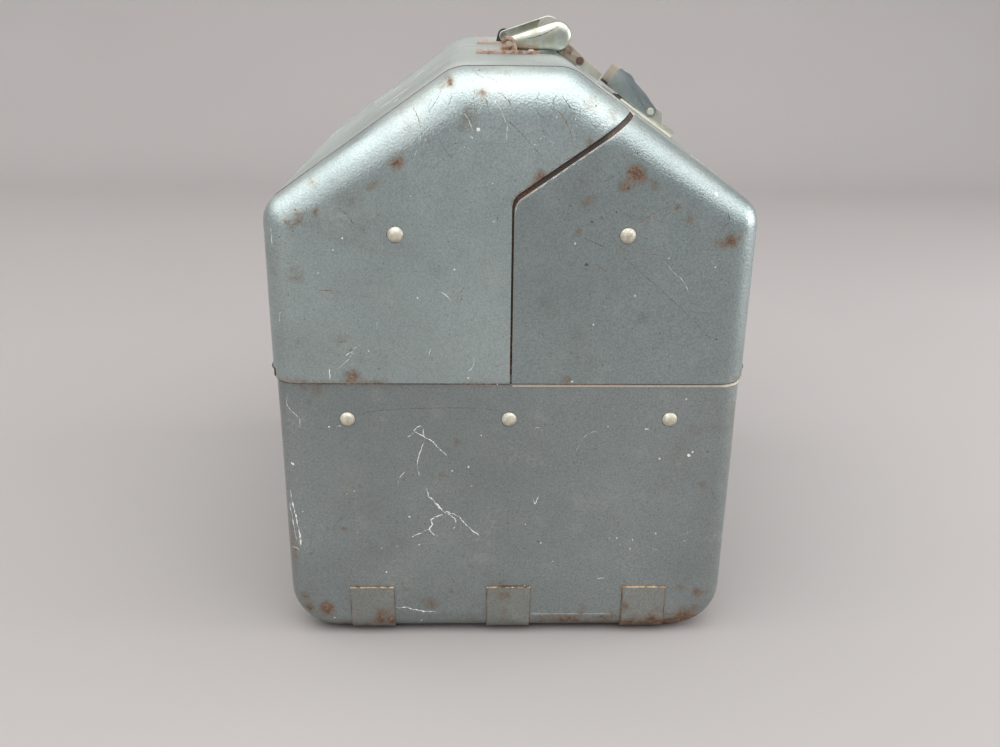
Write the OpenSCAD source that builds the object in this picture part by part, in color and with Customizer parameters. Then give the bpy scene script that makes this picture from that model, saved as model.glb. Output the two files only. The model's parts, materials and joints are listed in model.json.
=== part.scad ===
// Hip-roof steel carrying case: an open tub, two side-hinged roof lids that
// carry level cantilever trays, a swing handle on top and a draw latch.
// Millimetres. X is the width, Y the length, +Z up. The origin is on the floor
// under the middle of the case. Lids, latch and handle are drawn closed.

/* [Case] */
// Width of the tub across its side walls
base_w = 250; // [240:1:260]
// Length of the tub between its end walls
base_len = 309.6; // [290:0.2:330]
// Height of the seam between tub and lids
seam_z = 158.2; // [154:0.2:162]
// Width across the lids
lid_w = 254; // [250:1:262]
// Length of the lids
lid_len = 312; // [292:0.4:332]
// Height where the walls turn into the roof slopes
shoulder_z = 250.6; // [246:0.2:256]
// Height of the flat top
top_z = 319; // [314:0.2:324]
// Width of the flat top
flat_w = 58.5; // [50:0.5:66]
// Plan radius of the lids' vertical corners
corner_r = 16; // [12:1:18]
// Radius of the tub's lower corners, seen from the end
tub_corner_r = 27; // [22:1:30]
// Radius of the bends between the tub's end walls and its sides and floor
tub_bend_r = 12; // [9:1:14]
// Radius of the bend from the roof into the end faces
brow_r = 22; // [16:1:26]

/* [Sheet] */
// Sheet thickness of the lids
lid_t = 1.0; // [0.8:0.1:1.2]
// Sheet thickness of the tub
tub_t = 1.2; // [1:0.1:1.4]
// Distance of the end cap seam from the end face
cap_depth = 24; // [23:1:30]
// Gap between the two lids on the sloping stretch
slope_gap = 2.8; // [2:0.1:3.4]
// Gap between the two lids on the upright stretch
upright_gap = 1.2; // [0.8:0.1:2]
// Radius of the bend in the parting line
parting_r = 9; // [6:1:12]

/* [Floor skids] */
// Width of one skid strip
skid_w = 25.4; // [20:0.2:30]
// Distance between skid centre lines
skid_pitch = 78.4; // [70:0.2:85]
// How high the skids turn up the end faces
skid_up = 32.2; // [28:0.2:38]

/* [Hinges] */
// Outer radius of a hinge knuckle
knuckle_r = 2.75; // [2.5:0.05:2.8]
// Radius of the hinge wire
hinge_pin_r = 1.25; // [1:0.05:1.5]
// Length of one knuckle with its gap
knuckle_pitch = 16; // [12:1:20]
// Number of knuckles on a side, odd
knuckle_count = 17; // [9:2:17]

/* [Trays] */
// Width of a tray
tray_w = 78; // [70:1:80]
// Length of a tray
tray_len = 282; // [260:1:282]
// Height of a tray
tray_h = 48; // [30:1:48]
// Width of a lifting arm
arm_w = 10; // [8:0.5:10]

/* [Rivets] */
// Radius of a domed rivet head
head_r = 4.1; // [3:0.1:5]
// Height of a domed rivet head
head_h = 2.2; // [1.5:0.1:2.4]
// Radius of a rivet shank
shank_r = 2.5; // [2:0.1:3]

/* [Handle] */
// Length of the handle between its outer faces
handle_len = 92.4; // [80:0.2:92.4]
// Distance from the pivot to the middle of the grip
handle_reach = 28.3; // [26:0.1:29]
// Radius of the grip
grip_r = 8.2; // [7:0.1:8.4]
// Radius of the handle's root
root_r = 3.4; // [3:0.1:3.6]

/* [Latch] */
// Width of the draw latch
latch_w = 40; // [34:1:44]
// Width of the strike and tongue
strike_w = 30; // [24:1:34]

/* [Hidden] */
$fn = 64;

big = 400;
running = 0.05;
wall_spare = 20;
enamel = [0.46, 0.52, 0.52];
rusty = [0.42, 0.30, 0.24];
bright = [0.74, 0.75, 0.72];
cream = [0.80, 0.78, 0.70];

// Roof geometry: slope angle, and centres of the rounds inside its corners
slope_a = atan((top_z - shoulder_z) / (lid_w / 2 - flat_w / 2));
function inside_corner(r) = [lid_w / 2 - r, shoulder_z - r * tan(45 - slope_a / 2)];
function inside_brow(r) = [flat_w / 2 - r * tan(slope_a / 2), top_z - r];

// Parting line: upright at parting_x, then rising as steeply as the slope falls
parting_x = 0.5;
parting_z = 256.2;
parting_rise = 120;

// Skids, tub and rivets
inner_head_h = 1.4;
skid_t = 1.2;
skid_shift = 1;
tub_z = skid_t;
rim_t = 1.2;
rim_z = [seam_z - 6, seam_z + 5];
rim_half = 100;

// Hinges
hinge_x = lid_w / 2 - 0.5;
hinge_z = seam_z + 3;
leaf_t = 1;
knuckle_gap = 0.3;
wall_foot_z = seam_z + 6;
foot_y = lid_len / 2 - 5;

// Linkage of one side: lid rivet, tub rivet and the pin between arm and tray
lid_pivot = [58.5, 239];
tub_pivot = [87, 137.55];
tray_pin = [tub_pivot[0] + lid_pivot[0] - hinge_x, tub_pivot[1] + lid_pivot[1] - hinge_z];
arm_len = norm(tray_pin - tub_pivot);
arm_a = atan2(tray_pin[1] - tub_pivot[1], tray_pin[0] - tub_pivot[0]);
arm_t = 1.5;
arm_y = 146;
tray_t = 1;
tray_in = 6;
tray_bottom = 199.2;
side_gap = 0.3;
washer_r = 4;

// Handle
pivot_z = top_z + 5.4;
strap_t = 1.6;
strap_w = 12;
strap_y = handle_len / 2 - 1.2;
strap_half = 18;
ear_t = 2;
ear_r = 4.3;
ear_foot = 5.6;
ear_lean = 15;
ear_y = handle_len / 2 + 0.4;
handle_t = 1.4;
grip_rise = 4.4;
handle_pin_r = 1.6;

// Latch, in slope coordinates: distance down the slope and height above it
latch_pivot = [57, 5.6];
claw_pivot = [68.9, 5.3];
strike_pivot = [15.8, 3.9];
latch_t = 1.2;
plate_t = 1.2;
latch_pin_r = 1.5;

// ---------- helpers ----------

// Cuts a shape down to a polygon in the XZ plane
module keep_xz(points) intersection() {
    children();
    translate([0, big, 0]) rotate([90, 0, 0]) linear_extrude(2 * big) polygon(points);
}

// Extrudes an XZ outline along Y between two planes
module along_y(y0, y1) translate([0, y1, 0]) rotate([90, 0, 0]) linear_extrude(y1 - y0) children();

// Cylinder along Y at a point of the XZ plane
module rod(at, r, y0, y1) along_y(y0, y1) translate(at) circle(r);

// A rounded rectangle from two corners
module soft_rect(a, b, r) {
    translate([a[0] + r, a[1]]) square([b[0] - a[0] - 2 * r, b[1] - a[1]]);
    translate([a[0], a[1] + r]) square([b[0] - a[0], b[1] - a[1] - 2 * r]);
    for (x = [a[0] + r, b[0] - r], y = [a[1] + r, b[1] - r]) translate([x, y]) circle(r);
}

// Domed rivet head on a plane facing -Y
module dome(at, y, r = head_r, h = head_h) {
    ball = (r * r + h * h) / (2 * h);
    intersection() {
        translate([at[0], y + ball - h, at[1]]) sphere(ball, $fn = 48);
        rod(at, r, y - h, y);
    }
}

// Repeats a front piece at the rear, and a left or right piece on its own side
module both_ends() {
    children();
    mirror([0, 1, 0]) children();
}
module on_side(side) if (side < 0) mirror([1, 0, 0]) children(); else children();

// A faceted ball that reaches exactly r along each axis
ball_fn = 32;
module ball(r) sphere(r / cos(180 / ball_fn), $fn = ball_fn);

// Lid form, both lids closed, pulled in by d
module lid_form(d) hull() {
    for (x = [-1, 1], y = [-1, 1]) {
        translate([x * (lid_w / 2 - corner_r), y * (lid_len / 2 - corner_r), seam_z - wall_spare])
            cylinder(h = 2 * wall_spare, r = corner_r - d, $fn = ball_fn);
        translate([x * inside_corner(corner_r)[0], y * (lid_len / 2 - corner_r), inside_corner(corner_r)[1]])
            ball(corner_r - d);
        translate([x * inside_brow(brow_r)[0], y * (lid_len / 2 - brow_r), inside_brow(brow_r)[1]])
            ball(brow_r - d);
    }
}

// Sheet between two depths of the lid form
module lid_sheet(d0, d1) difference() {
    lid_form(d0);
    lid_form(d1);
}

// Outline of the parting line, moved to the right by the given gaps
function parting(upright, slant, z0 = seam_z) =
    let (
        x = parting_x + upright,
        turn = 90 - slope_a,
        corner_z = parting_z + (upright * sin(slope_a) - slant) / cos(slope_a),
        cut = parting_r * tan(turn / 2)
    )
    concat(
        [[x, z0]],
        [for (a = [0 : turn / 6 : turn])
            [x + parting_r * (1 - cos(a)), corner_z - cut + parting_r * sin(a)]],
        [[x + parting_rise * cos(slope_a), corner_z + parting_rise * sin(slope_a)]]
    );
left_edge = parting(-upright_gap / 2, -slope_gap / 2);
right_edge = parting(upright_gap / 2, slope_gap / 2);
left_region = concat(left_edge, [[-big, big], [-big, seam_z]]);
right_region = concat(right_edge, [[big, big], [big, seam_z]]);

// Room over the hinge, where the lid's side wall stops short of the seam
module hinge_room() translate([-big, -foot_y, 0]) cube([2 * big, 2 * foot_y, wall_foot_z]);

// Part of the lid sheet between two stations along Y
module between(y0, y1) intersection() {
    children();
    translate([-big / 2, y0, 0]) cube([big, y1 - y0, big]);
}

// ---------- tub ----------

// Tub form pulled in by d: the lower corners are rings, larger seen from the end
module tub_form(d) hull() for (x = [-1, 1], y = [-1, 1]) {
    translate([x * (base_w / 2 - tub_corner_r), y * (base_len / 2 - tub_bend_r), tub_z + tub_corner_r])
        rotate([90, 0, 0]) rotate_extrude($fn = 64)
            translate([tub_corner_r - tub_bend_r, 0]) intersection() {
                circle(tub_bend_r - d, $fn = ball_fn);
                translate([0, -tub_bend_r]) square(2 * tub_bend_r);
            }
    translate([x * (base_w / 2 - tub_bend_r), y * (base_len / 2 - tub_bend_r), seam_z - wall_spare])
        cylinder(h = 2 * wall_spare, r = tub_bend_r - d, $fn = ball_fn);
}

module base_tub() color(enamel) difference() {
    union() {
        difference() {
            tub_form(0);
            tub_form(tub_t);
            translate([-big / 2, -big / 2, seam_z]) cube(big);
        }
        both_ends() translate([-rim_half, -base_len / 2 + tub_t, rim_z[0]])
            cube([2 * rim_half, rim_t, rim_z[1] - rim_z[0]]);
    }
    for (x = [-tub_pivot[0], 0, tub_pivot[0]]) rod([x, tub_pivot[1]], shank_r, -big / 2, big / 2);
}

module skid(x) color(rusty) translate([x - skid_w / 2, 0, 0]) rotate([90, 0, 90]) linear_extrude(skid_w)
    difference() {
        soft_rect([-base_len / 2 - skid_t, 0], [base_len / 2 + skid_t, seam_z], tub_bend_r + skid_t);
        soft_rect([-base_len / 2, skid_t], [base_len / 2, seam_z], tub_bend_r);
        translate([-big, skid_up]) square(2 * big);
    }
module skid_left() skid(skid_shift - skid_pitch);
module skid_middle() skid(skid_shift);
module skid_right() skid(skid_shift + skid_pitch);

// Partition: a plain web between two flanges riveted to the end walls
partition_t = 1.2;
partition_half = base_len / 2 - tub_t;
partition_top = rim_z[0] - 2;
partition_foot = tub_z + tub_t;
web_half = partition_half - partition_t;
web_cut = 18;
flange_half = 12;
flange_z = 34;
module centre_partition() color(enamel) rotate([90, 0, 90])
    translate([0, 0, -partition_t / 2]) linear_extrude(partition_t) polygon([
        [-web_half + web_cut, partition_foot], [web_half - web_cut, partition_foot],
        [web_half, partition_foot + web_cut], [web_half, partition_top],
        [-web_half, partition_top], [-web_half, partition_foot + web_cut]]);
module partition_flanges() color(enamel) both_ends() difference() {
    translate([-flange_half, -partition_half, flange_z])
        cube([2 * flange_half, partition_t, partition_top - flange_z]);
    rod([0, tub_pivot[1]], shank_r, -big / 2, big / 2);
}
module partition_rivets() color(cream) both_ends() {
    dome([0, tub_pivot[1]], -base_len / 2);
    rod([0, tub_pivot[1]], shank_r, -base_len / 2, -web_half);
}

// Rivet, washer stack and inner head that carry one lifting arm
module arm_pivot_rivets() color(cream) both_ends() for (x = [-tub_pivot[0], tub_pivot[0]]) {
    at = [x, tub_pivot[1]];
    dome(at, -base_len / 2);
    rod(at, shank_r, -base_len / 2, -arm_y + side_gap);
    rod(at, washer_r, -base_len / 2 + tub_t, -arm_y - arm_t - side_gap);
    rod(at, washer_r, -arm_y + side_gap, -arm_y + side_gap + inner_head_h);
}

// ---------- hinges ----------

first_knuckle = -knuckle_pitch * knuckle_count / 2;
base_leaf_drop = 9;
lid_leaf_rise = 12;
leaf_gap = 0.1;
module knuckles(start, z0, z1) for (k = [start : 2 : knuckle_count - 1]) {
    y0 = first_knuckle + k * knuckle_pitch + knuckle_gap / 2;
    y1 = y0 + knuckle_pitch - knuckle_gap;
    difference() {
        union() {
            rod([hinge_x, hinge_z], knuckle_r, y0, y1);
            translate([base_w / 2, y0, z0]) cube([leaf_t, y1 - y0, z1 - z0]);
        }
        rod([hinge_x, hinge_z], hinge_pin_r + running, -big / 2, big / 2);
    }
}

module base_leaf(side) color(enamel) on_side(side) {
    translate([base_w / 2, first_knuckle, seam_z - base_leaf_drop])
        cube([leaf_t, -2 * first_knuckle, base_leaf_drop - leaf_gap]);
    knuckles(0, seam_z - 1, hinge_z);
}
module base_hinge_leaf_left() base_leaf(-1);
module base_hinge_leaf_right() base_leaf(1);

module lid_leaf(side) color(enamel) on_side(side) {
    translate([base_w / 2, first_knuckle, wall_foot_z + leaf_gap])
        cube([leaf_t, -2 * first_knuckle, lid_leaf_rise]);
    knuckles(1, hinge_z, wall_foot_z + 1);
}
module left_hinge_leaf() lid_leaf(-1);
module right_hinge_leaf() lid_leaf(1);

module hinge_wire(side) color(bright) on_side(side)
    rod([hinge_x, hinge_z], hinge_pin_r, first_knuckle, -first_knuckle);
module hinge_wire_left() hinge_wire(-1);
module hinge_wire_right() hinge_wire(1);

// ---------- lids ----------

// Places of the strap and latch rivets
strap_rivet_x = 13;
strap_rivet_y = strap_y + 3.9;
small_rivet_r = 1.2;
latch_rivet_u = [52.5, 76.5];
latch_rivet_y = 8;

// The strip behind the parting line: how far under each lid it reaches
lip_drop = 0.6;
lip_reach = 1.5;
lip_hold = 6;
lap_clear = 0.5;
left_lap_edge = parting(-upright_gap / 2 - lip_reach - lap_clear, -slope_gap / 2 - lip_reach - lap_clear);
right_lap_edge = parting(upright_gap / 2 + lip_hold + lap_clear, slope_gap / 2 + lip_hold + lap_clear);
left_lap_region = concat(left_lap_edge, [[-big, big], [-big, seam_z]]);
right_lap_region = concat(right_lap_edge, [[big, big], [big, seam_z]]);

cap_y = lid_len / 2 - cap_depth;
lap = 8;
lap_foot_z = wall_foot_z + 14;
module roof(region) color(enamel) difference() {
    keep_xz(region) difference() {
        between(-cap_y, cap_y) lid_sheet(0, lid_t);
        hinge_room();
    }
    for (x = [-strap_rivet_x, strap_rivet_x], y = [-strap_rivet_y, strap_rivet_y])
        translate([x, y, top_z - brow_r]) cylinder(h = 2 * brow_r, r = small_rivet_r + running);
    on_slope() for (u = latch_rivet_u, y = [-latch_rivet_y, latch_rivet_y])
        translate([u, y, -brow_r]) cylinder(h = 2 * brow_r, r = small_rivet_r + running);
}

// End cap of one lid with the lap that the roof sheet is welded to
module end_cap(region, lap_region, rear, pivot_x) color(enamel) difference() {
    mirror([0, rear, 0]) {
        keep_xz(region) difference() {
            between(-lid_len / 2, -cap_y) lid_sheet(0, lid_t);
            hinge_room();
        }
        keep_xz(lap_region) difference() {
            between(-cap_y - 2, -cap_y + lap) lid_sheet(lid_t, 2 * lid_t);
            translate([-big / 2, -big / 2, 0]) cube([big, big, lap_foot_z]);
        }
    }
    rod([pivot_x, lid_pivot[1]], shank_r, -big / 2, big / 2);
}
module left_roof() roof(left_region);
module left_front_cap() end_cap(left_region, left_lap_region, 0, -lid_pivot[0]);
module left_rear_cap() end_cap(left_region, left_lap_region, 1, -lid_pivot[0]);
module right_roof() roof(right_region);
module right_front_cap() end_cap(right_region, right_lap_region, 0, lid_pivot[0]);
module right_rear_cap() end_cap(right_region, right_lap_region, 1, lid_pivot[0]);

// Strip inside the right lid that closes the gap under the left lid's edge
lip_foot_z = rim_z[1] + 0.4;
module right_lip() color(rusty) {
    far = reverse(parting(upright_gap / 2 + lip_hold, slope_gap / 2 + lip_hold, lip_foot_z));
    tongue = concat(parting(-upright_gap / 2 - lip_reach, -slope_gap / 2 - lip_reach, lip_foot_z), far);
    seat = concat(parting(upright_gap / 2 + 1, slope_gap / 2 + 1, lip_foot_z), far);
    keep_xz(tongue) lid_sheet(lid_t + lip_drop, 2 * lid_t + lip_drop);
    keep_xz(seat) lid_sheet(lid_t, lid_t + lip_drop);
}
function reverse(list) = [for (i = [len(list) - 1 : -1 : 0]) list[i]];

// Lid rivet, long washer and inner head that carry one tray
module tray_rivets(side) color(cream) on_side(side) both_ends() {
    dome(lid_pivot, -lid_len / 2);
    rod(lid_pivot, shank_r, -lid_len / 2, -tray_len / 2 + tray_t + side_gap);
    rod(lid_pivot, washer_r, -lid_len / 2 + lid_t, -tray_len / 2 - side_gap);
    rod(lid_pivot, washer_r, -tray_len / 2 + tray_t + side_gap, -tray_len / 2 + tray_t + side_gap + inner_head_h);
}
module left_tray_rivets() tray_rivets(-1);
module right_tray_rivets() tray_rivets(1);

// ---------- trays and arms ----------

module arm(side, rear) color(bright) on_side(side) mirror([0, rear, 0]) along_y(-arm_y - arm_t, -arm_y)
    translate(tub_pivot) rotate(arm_a) difference() {
        union() {
            circle(arm_w / 2);
            translate([0, -arm_w / 2]) square([arm_len, arm_w]);
            translate([arm_len, 0]) circle(arm_w / 2);
        }
        circle(shank_r + running);
        translate([arm_len, 0]) circle(shank_r);
    }
module left_arm_front() arm(-1, 0);
module left_arm_rear() arm(-1, 1);
module right_arm_front() arm(1, 0);
module right_arm_rear() arm(1, 1);

// Pins riveted in the arms that the trays hang on
pin_play = 0.2;
module arm_pins(side) color(cream) on_side(side) both_ends() {
    rod(tray_pin, head_r, -arm_y - arm_t - inner_head_h, -arm_y - arm_t);
    rod(tray_pin, shank_r, -arm_y - arm_t, -tray_len / 2 + tray_t + side_gap);
    rod(tray_pin, washer_r, -arm_y, -tray_len / 2 - side_gap);
    rod(tray_pin, washer_r, -tray_len / 2 + tray_t + side_gap, -tray_len / 2 + tray_t + side_gap + inner_head_h);
}
module left_arm_pins() arm_pins(-1);
module right_arm_pins() arm_pins(1);

bead_h = 2.5;
bead_w = 1.2;
tray_r = 6;
divider_y = 47;
divider_drop = 6;
module tray_plan(grow) soft_rect([tray_in - grow, -tray_len / 2 - grow],
    [tray_in + tray_w + grow, tray_len / 2 + grow], tray_r + grow);
module tray(side) color(enamel) on_side(side) difference() {
    union() {
        translate([0, 0, tray_bottom]) linear_extrude(tray_h) tray_plan(0);
        translate([0, 0, tray_bottom + tray_h - bead_h]) linear_extrude(bead_h) tray_plan(bead_w);
    }
    translate([0, 0, tray_bottom + tray_t]) linear_extrude(tray_h) tray_plan(-tray_t);
    rod(lid_pivot, shank_r + running, -big / 2, big / 2);
    rod(tray_pin, shank_r + pin_play, -big / 2, big / 2);
}
module left_tray() tray(-1);
module right_tray() tray(1);

module dividers(side) color(enamel) on_side(side) for (y = [-divider_y, divider_y])
    translate([tray_in + tray_t, y - tray_t / 2, tray_bottom + tray_t])
        cube([tray_w - 2 * tray_t, tray_t, tray_h - divider_drop]);
module left_tray_dividers() dividers(-1);
module right_tray_dividers() dividers(1);

// ---------- handle ----------

module strap(end) color(rusty) difference() {
    union() {
        translate([-strap_half, end * strap_y - strap_w / 2, top_z]) cube([2 * strap_half, strap_w, strap_t]);
        along_y(end * ear_y + (end < 0 ? -ear_t : 0), end * ear_y + (end < 0 ? 0 : ear_t)) {
            translate([0, pivot_z]) circle(ear_r);
            polygon([[-ear_foot, top_z + strap_t / 2], [ear_foot, top_z + strap_t / 2],
                [ear_r * cos(ear_lean), pivot_z + ear_r * sin(ear_lean)],
                [-ear_r * cos(ear_lean), pivot_z + ear_r * sin(ear_lean)]]);
        }
    }
    rod([0, pivot_z], handle_pin_r, -big / 2, big / 2);
    for (x = [-strap_rivet_x, strap_rivet_x])
        translate([x, end * strap_rivet_y, top_z - 1]) cylinder(h = 2 * strap_t + 2, r = small_rivet_r);
}
module handle_strap_front() strap(-1);
module handle_strap_rear() strap(1);

// Small rivet with a flat-topped head over a sheet of thickness t, through the lid
rivet_tail = 0.8;
small_head_h = 0.9;
head_taper = 0.7;
module small_rivet(t, r) {
    translate([0, 0, t]) cylinder(h = small_head_h, r1 = r, r2 = head_taper * r);
    translate([0, 0, -lid_t - rivet_tail]) cylinder(h = lid_t + rivet_tail + t, r = small_rivet_r);
}
strap_head_r = 1.9;
module strap_rivets() color(rusty)
    for (x = [-strap_rivet_x, strap_rivet_x], y = [-strap_rivet_y, strap_rivet_y])
        translate([x, y, top_z]) small_rivet(strap_t, strap_head_r);

handle_pin_head_r = 1.9;
handle_pin_head_h = 1;
handle_pin_end = handle_len / 2 - handle_t - side_gap;
module handle_pins() color(bright) both_ends() {
    rod([0, pivot_z], handle_pin_r, -ear_y - ear_t, -handle_pin_end);
    rod([0, pivot_z], handle_pin_head_r, -handle_pin_end, -handle_pin_end + handle_pin_head_h);
}

// Outline round two circles of different radius, the first at the pivot
grip_at = [handle_reach, grip_rise];
function drop(r0, r1) =
    let (d = norm(grip_at), a = atan2(grip_at[1], grip_at[0]), b = acos((r0 - r1) / d))
    concat(
        [for (t = [-b : 2 * b / 16 : b]) grip_at + r1 * [cos(a + t), sin(a + t)]],
        [for (t = [b : (360 - 2 * b) / 12 : 360 - b]) r0 * [cos(a + t), sin(a + t)]]
    );
flange_w = 6;
grip_step = 0.25;
module handle() color(bright) difference() {
    translate([0, 0, pivot_z]) {
        both_ends() along_y(-handle_len / 2, -handle_len / 2 + handle_t) polygon(drop(root_r, grip_r));
        both_ends() along_y(-handle_len / 2, -handle_len / 2 + flange_w) difference() {
            polygon(drop(root_r, grip_r));
            polygon(drop(root_r - handle_t, grip_r - handle_t));
        }
        along_y(-handle_len / 2 + handle_t / 2, handle_len / 2 - handle_t / 2) translate(grip_at) difference() {
            circle(grip_r - grip_step);
            circle(grip_r - grip_step - handle_t);
        }
    }
    rod([0, pivot_z], handle_pin_r + running, -big / 2, big / 2);
}

// ---------- strike, tongue and latch ----------

// Places a shape drawn in slope coordinates on the right slope, over its paint film
film = 0.05;
module on_slope() translate([flat_w / 2, 0, top_z]) rotate([0, slope_a, 0]) translate([0, 0, film]) children();

// Strike: a foot plate, an upright face and two cheeks with eyes for the tongue's pin
cheek_t = 2.4;
strike_foot_u = [2.6, 14.6];
strike_face_u = 3.4;
strike_face_h = 7.2;
strike_top = [4.7, 8.4];
strike_eye_r = 3;
module strike_bracket() color(rusty) on_slope() difference() {
    union() {
        translate([strike_foot_u[0], -strike_w / 2, 0])
            cube([strike_foot_u[1] - strike_foot_u[0], strike_w, plate_t]);
        both_ends() along_y(-strike_w / 2, -strike_w / 2 + cheek_t) {
            polygon([[strike_face_u, 0], [strike_face_u, strike_face_h], strike_top,
                strike_pivot + [0, strike_eye_r], [strike_pivot[0], 0]]);
            translate(strike_pivot) circle(strike_eye_r);
        }
        translate([strike_face_u, -strike_w / 2, 0]) cube([plate_t, strike_w, strike_face_h]);
    }
    rod(strike_pivot, latch_pin_r, -big / 2, big / 2);
}
strike_head_r = 2.3;
strike_head_h = 0.8;
module strike_pin() color(bright) on_slope() {
    rod(strike_pivot, latch_pin_r, -strike_w / 2, strike_w / 2);
    both_ends() rod(strike_pivot, strike_head_r, -strike_w / 2 - strike_head_h, -strike_w / 2);
}

// Tongue: a channel with a rolled eye, its free end open
tongue_gap = 0.4;
tongue_half = strike_w / 2 - cheek_t - tongue_gap;
tongue_end = 32;
tongue_top = [6.6, 5.6];
tongue_foot = 0.8;
tongue_heel = 4;
tongue_eye_r = 2.7;
module hasp_tongue() color(bright) on_slope() difference() {
    union() {
        rod(strike_pivot, tongue_eye_r, -tongue_half, tongue_half);
        both_ends() along_y(-tongue_half, -tongue_half + latch_t) polygon([
            [strike_pivot[0], strike_pivot[1] - tongue_eye_r], [strike_pivot[0], tongue_top[0]],
            [tongue_end, tongue_top[1]], [tongue_end, tongue_foot],
            [strike_pivot[0] + tongue_heel, tongue_foot]]);
        along_y(-tongue_half, tongue_half) polygon([
            [strike_pivot[0], tongue_top[0] - latch_t], [strike_pivot[0], tongue_top[0]],
            [tongue_end, tongue_top[1]], [tongue_end, tongue_top[1] - latch_t]]);
    }
    rod(strike_pivot, latch_pin_r + running, -big / 2, big / 2);
}

// Base plate with two lugs that carry the lever
plate_side = 0.5;
lug_y = latch_w / 2 - 5.2;
lug_r = 3.6;
plate_u = [49.5, 88.6];
module latch_base() color(bright) on_slope() difference() {
    union() {
        translate([plate_u[0], -latch_w / 2 + plate_side, 0])
            cube([plate_u[1] - plate_u[0], latch_w - 2 * plate_side, plate_t]);
        both_ends() along_y(-lug_y, -lug_y + latch_t) {
            translate(latch_pivot) circle(lug_r);
            translate([latch_pivot[0] - lug_r, plate_t / 2]) square([2 * lug_r, latch_pivot[1] - plate_t / 2]);
        }
    }
    rod(latch_pivot, latch_pin_r, -big / 2, big / 2);
    for (u = latch_rivet_u, y = [-latch_rivet_y, latch_rivet_y])
        translate([u, y, -1]) cylinder(h = plate_t + 2, r = small_rivet_r);
}
latch_head_r = 2.4;
module latch_rivets() color(bright) on_slope()
    for (u = latch_rivet_u, y = [-latch_rivet_y, latch_rivet_y])
        translate([u, y, 0]) small_rivet(plate_t, latch_head_r);
pin_proud = 0.1;
lever_y = lug_y + side_gap;
lever_out = lever_y + latch_t;
module latch_pivot_pin() color(bright) on_slope()
    rod(latch_pivot, latch_pin_r, -lever_out - pin_proud, lever_out + pin_proud);

// Lever: a channel over the lugs that ends in a curled finger tab
lever_foot = 1.4;
lever_top = [9.4, 8.9];
lever_eye_r = 4;
lever_top_u = [61, 76.2];
lever_end_u = [76, 81.2];
module lever_cheek() difference() {
    union() {
        translate(latch_pivot) circle(lever_eye_r);
        polygon([latch_pivot - [0, lever_eye_r], [latch_pivot[0], lever_top[0]],
            [lever_top_u[0], lever_top[0]], [lever_top_u[1], lever_top[1]],
            [lever_end_u[1], lever_foot], [lever_end_u[0], lever_foot]]);
    }
    translate(latch_pivot) circle(latch_pin_r + running);
    translate(claw_pivot) circle(latch_pin_r);
}
tab_r = 9;
tab_t = 0.9;
tab_u = [79.4, 83.5];
tab_a = 42;
module latch_lever() color(bright) on_slope() {
    both_ends() along_y(-lever_out, -lever_y) lever_cheek();
    along_y(-lever_out, lever_out) {
        polygon([[lever_top_u[0], lever_top[0] - latch_t], [lever_top_u[0], lever_top[0]],
            [lever_top_u[1], lever_top[1]], [lever_top_u[1] + latch_t / 2, lever_top[1] - latch_t]]);
        translate([tab_u[0], lever_foot]) square([tab_u[1] - tab_u[0], tab_t]);
        translate([tab_u[1], lever_foot + tab_r]) intersection() {
            difference() {
                circle(tab_r);
                circle(tab_r - tab_t);
            }
            polygon([[0, 0], [0, -2 * tab_r], 2 * tab_r * [sin(tab_a), -cos(tab_a)]]);
        }
    }
}
claw_y = lever_out + side_gap;
claw_out = claw_y + latch_t;
claw_head_r = 2.2;
claw_head_h = 0.7;
module claw_pin() color(bright) on_slope() {
    rod(claw_pivot, latch_pin_r, -claw_out - pin_proud, claw_out + pin_proud);
    both_ends() rod(claw_pivot, claw_head_r, -claw_out - claw_head_h, -claw_out);
}

// Claw: the outer channel that reaches over the parting line to the tongue,
// with a pressed crest across its top
claw_nose = [[37.4, 2], [37.6, 14], [38.8, 15.2], [42.5, 15]];
claw_back = [60, 11.9];
claw_eye_r = 3.8;
claw_face_foot = 3.6;
crest_at = [46.4, 6.6];
crest_r = 9;
crest_half = 9;
crest_foot = 13.4;
module latch_claw() color(bright) on_slope() difference() {
    union() {
        both_ends() along_y(-claw_out, -claw_y) {
            polygon(concat(claw_nose, [claw_back, claw_pivot + [0, claw_eye_r], claw_pivot - [0, claw_eye_r]]));
            translate(claw_pivot) circle(claw_eye_r);
        }
        // The top and the face, one sheet thick, then the crest
        along_y(-claw_y, claw_y) {
            polygon([claw_nose[1], claw_nose[2], claw_nose[3], claw_back,
                claw_back - [0, latch_t], claw_nose[3] - [0, latch_t]]);
            translate([claw_nose[1][0], claw_face_foot]) square([latch_t, claw_nose[1][1] - claw_face_foot]);
        }
        along_y(-crest_half, crest_half) intersection() {
            translate(crest_at) circle(crest_r);
            translate([crest_at[0] - crest_r, crest_foot]) square(2 * crest_r);
        }
    }
    rod(claw_pivot, latch_pin_r + running, -big / 2, big / 2);
}

base_tub();
skid_left();
skid_middle();
skid_right();
centre_partition();
partition_flanges();
partition_rivets();
arm_pivot_rivets();
base_hinge_leaf_left();
base_hinge_leaf_right();
hinge_wire_left();
hinge_wire_right();
left_roof();
left_front_cap();
left_rear_cap();
left_hinge_leaf();
handle_strap_front();
handle_strap_rear();
strap_rivets();
handle_pins();
strike_bracket();
strike_pin();
left_tray_rivets();
right_roof();
right_front_cap();
right_rear_cap();
right_lip();
right_hinge_leaf();
latch_base();
latch_rivets();
latch_pivot_pin();
right_tray_rivets();
handle();
latch_lever();
claw_pin();
latch_claw();
hasp_tongue();
left_arm_front();
left_arm_rear();
left_arm_pins();
right_arm_front();
right_arm_rear();
right_arm_pins();
left_tray();
left_tray_dividers();
right_tray();
right_tray_dividers();
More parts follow.
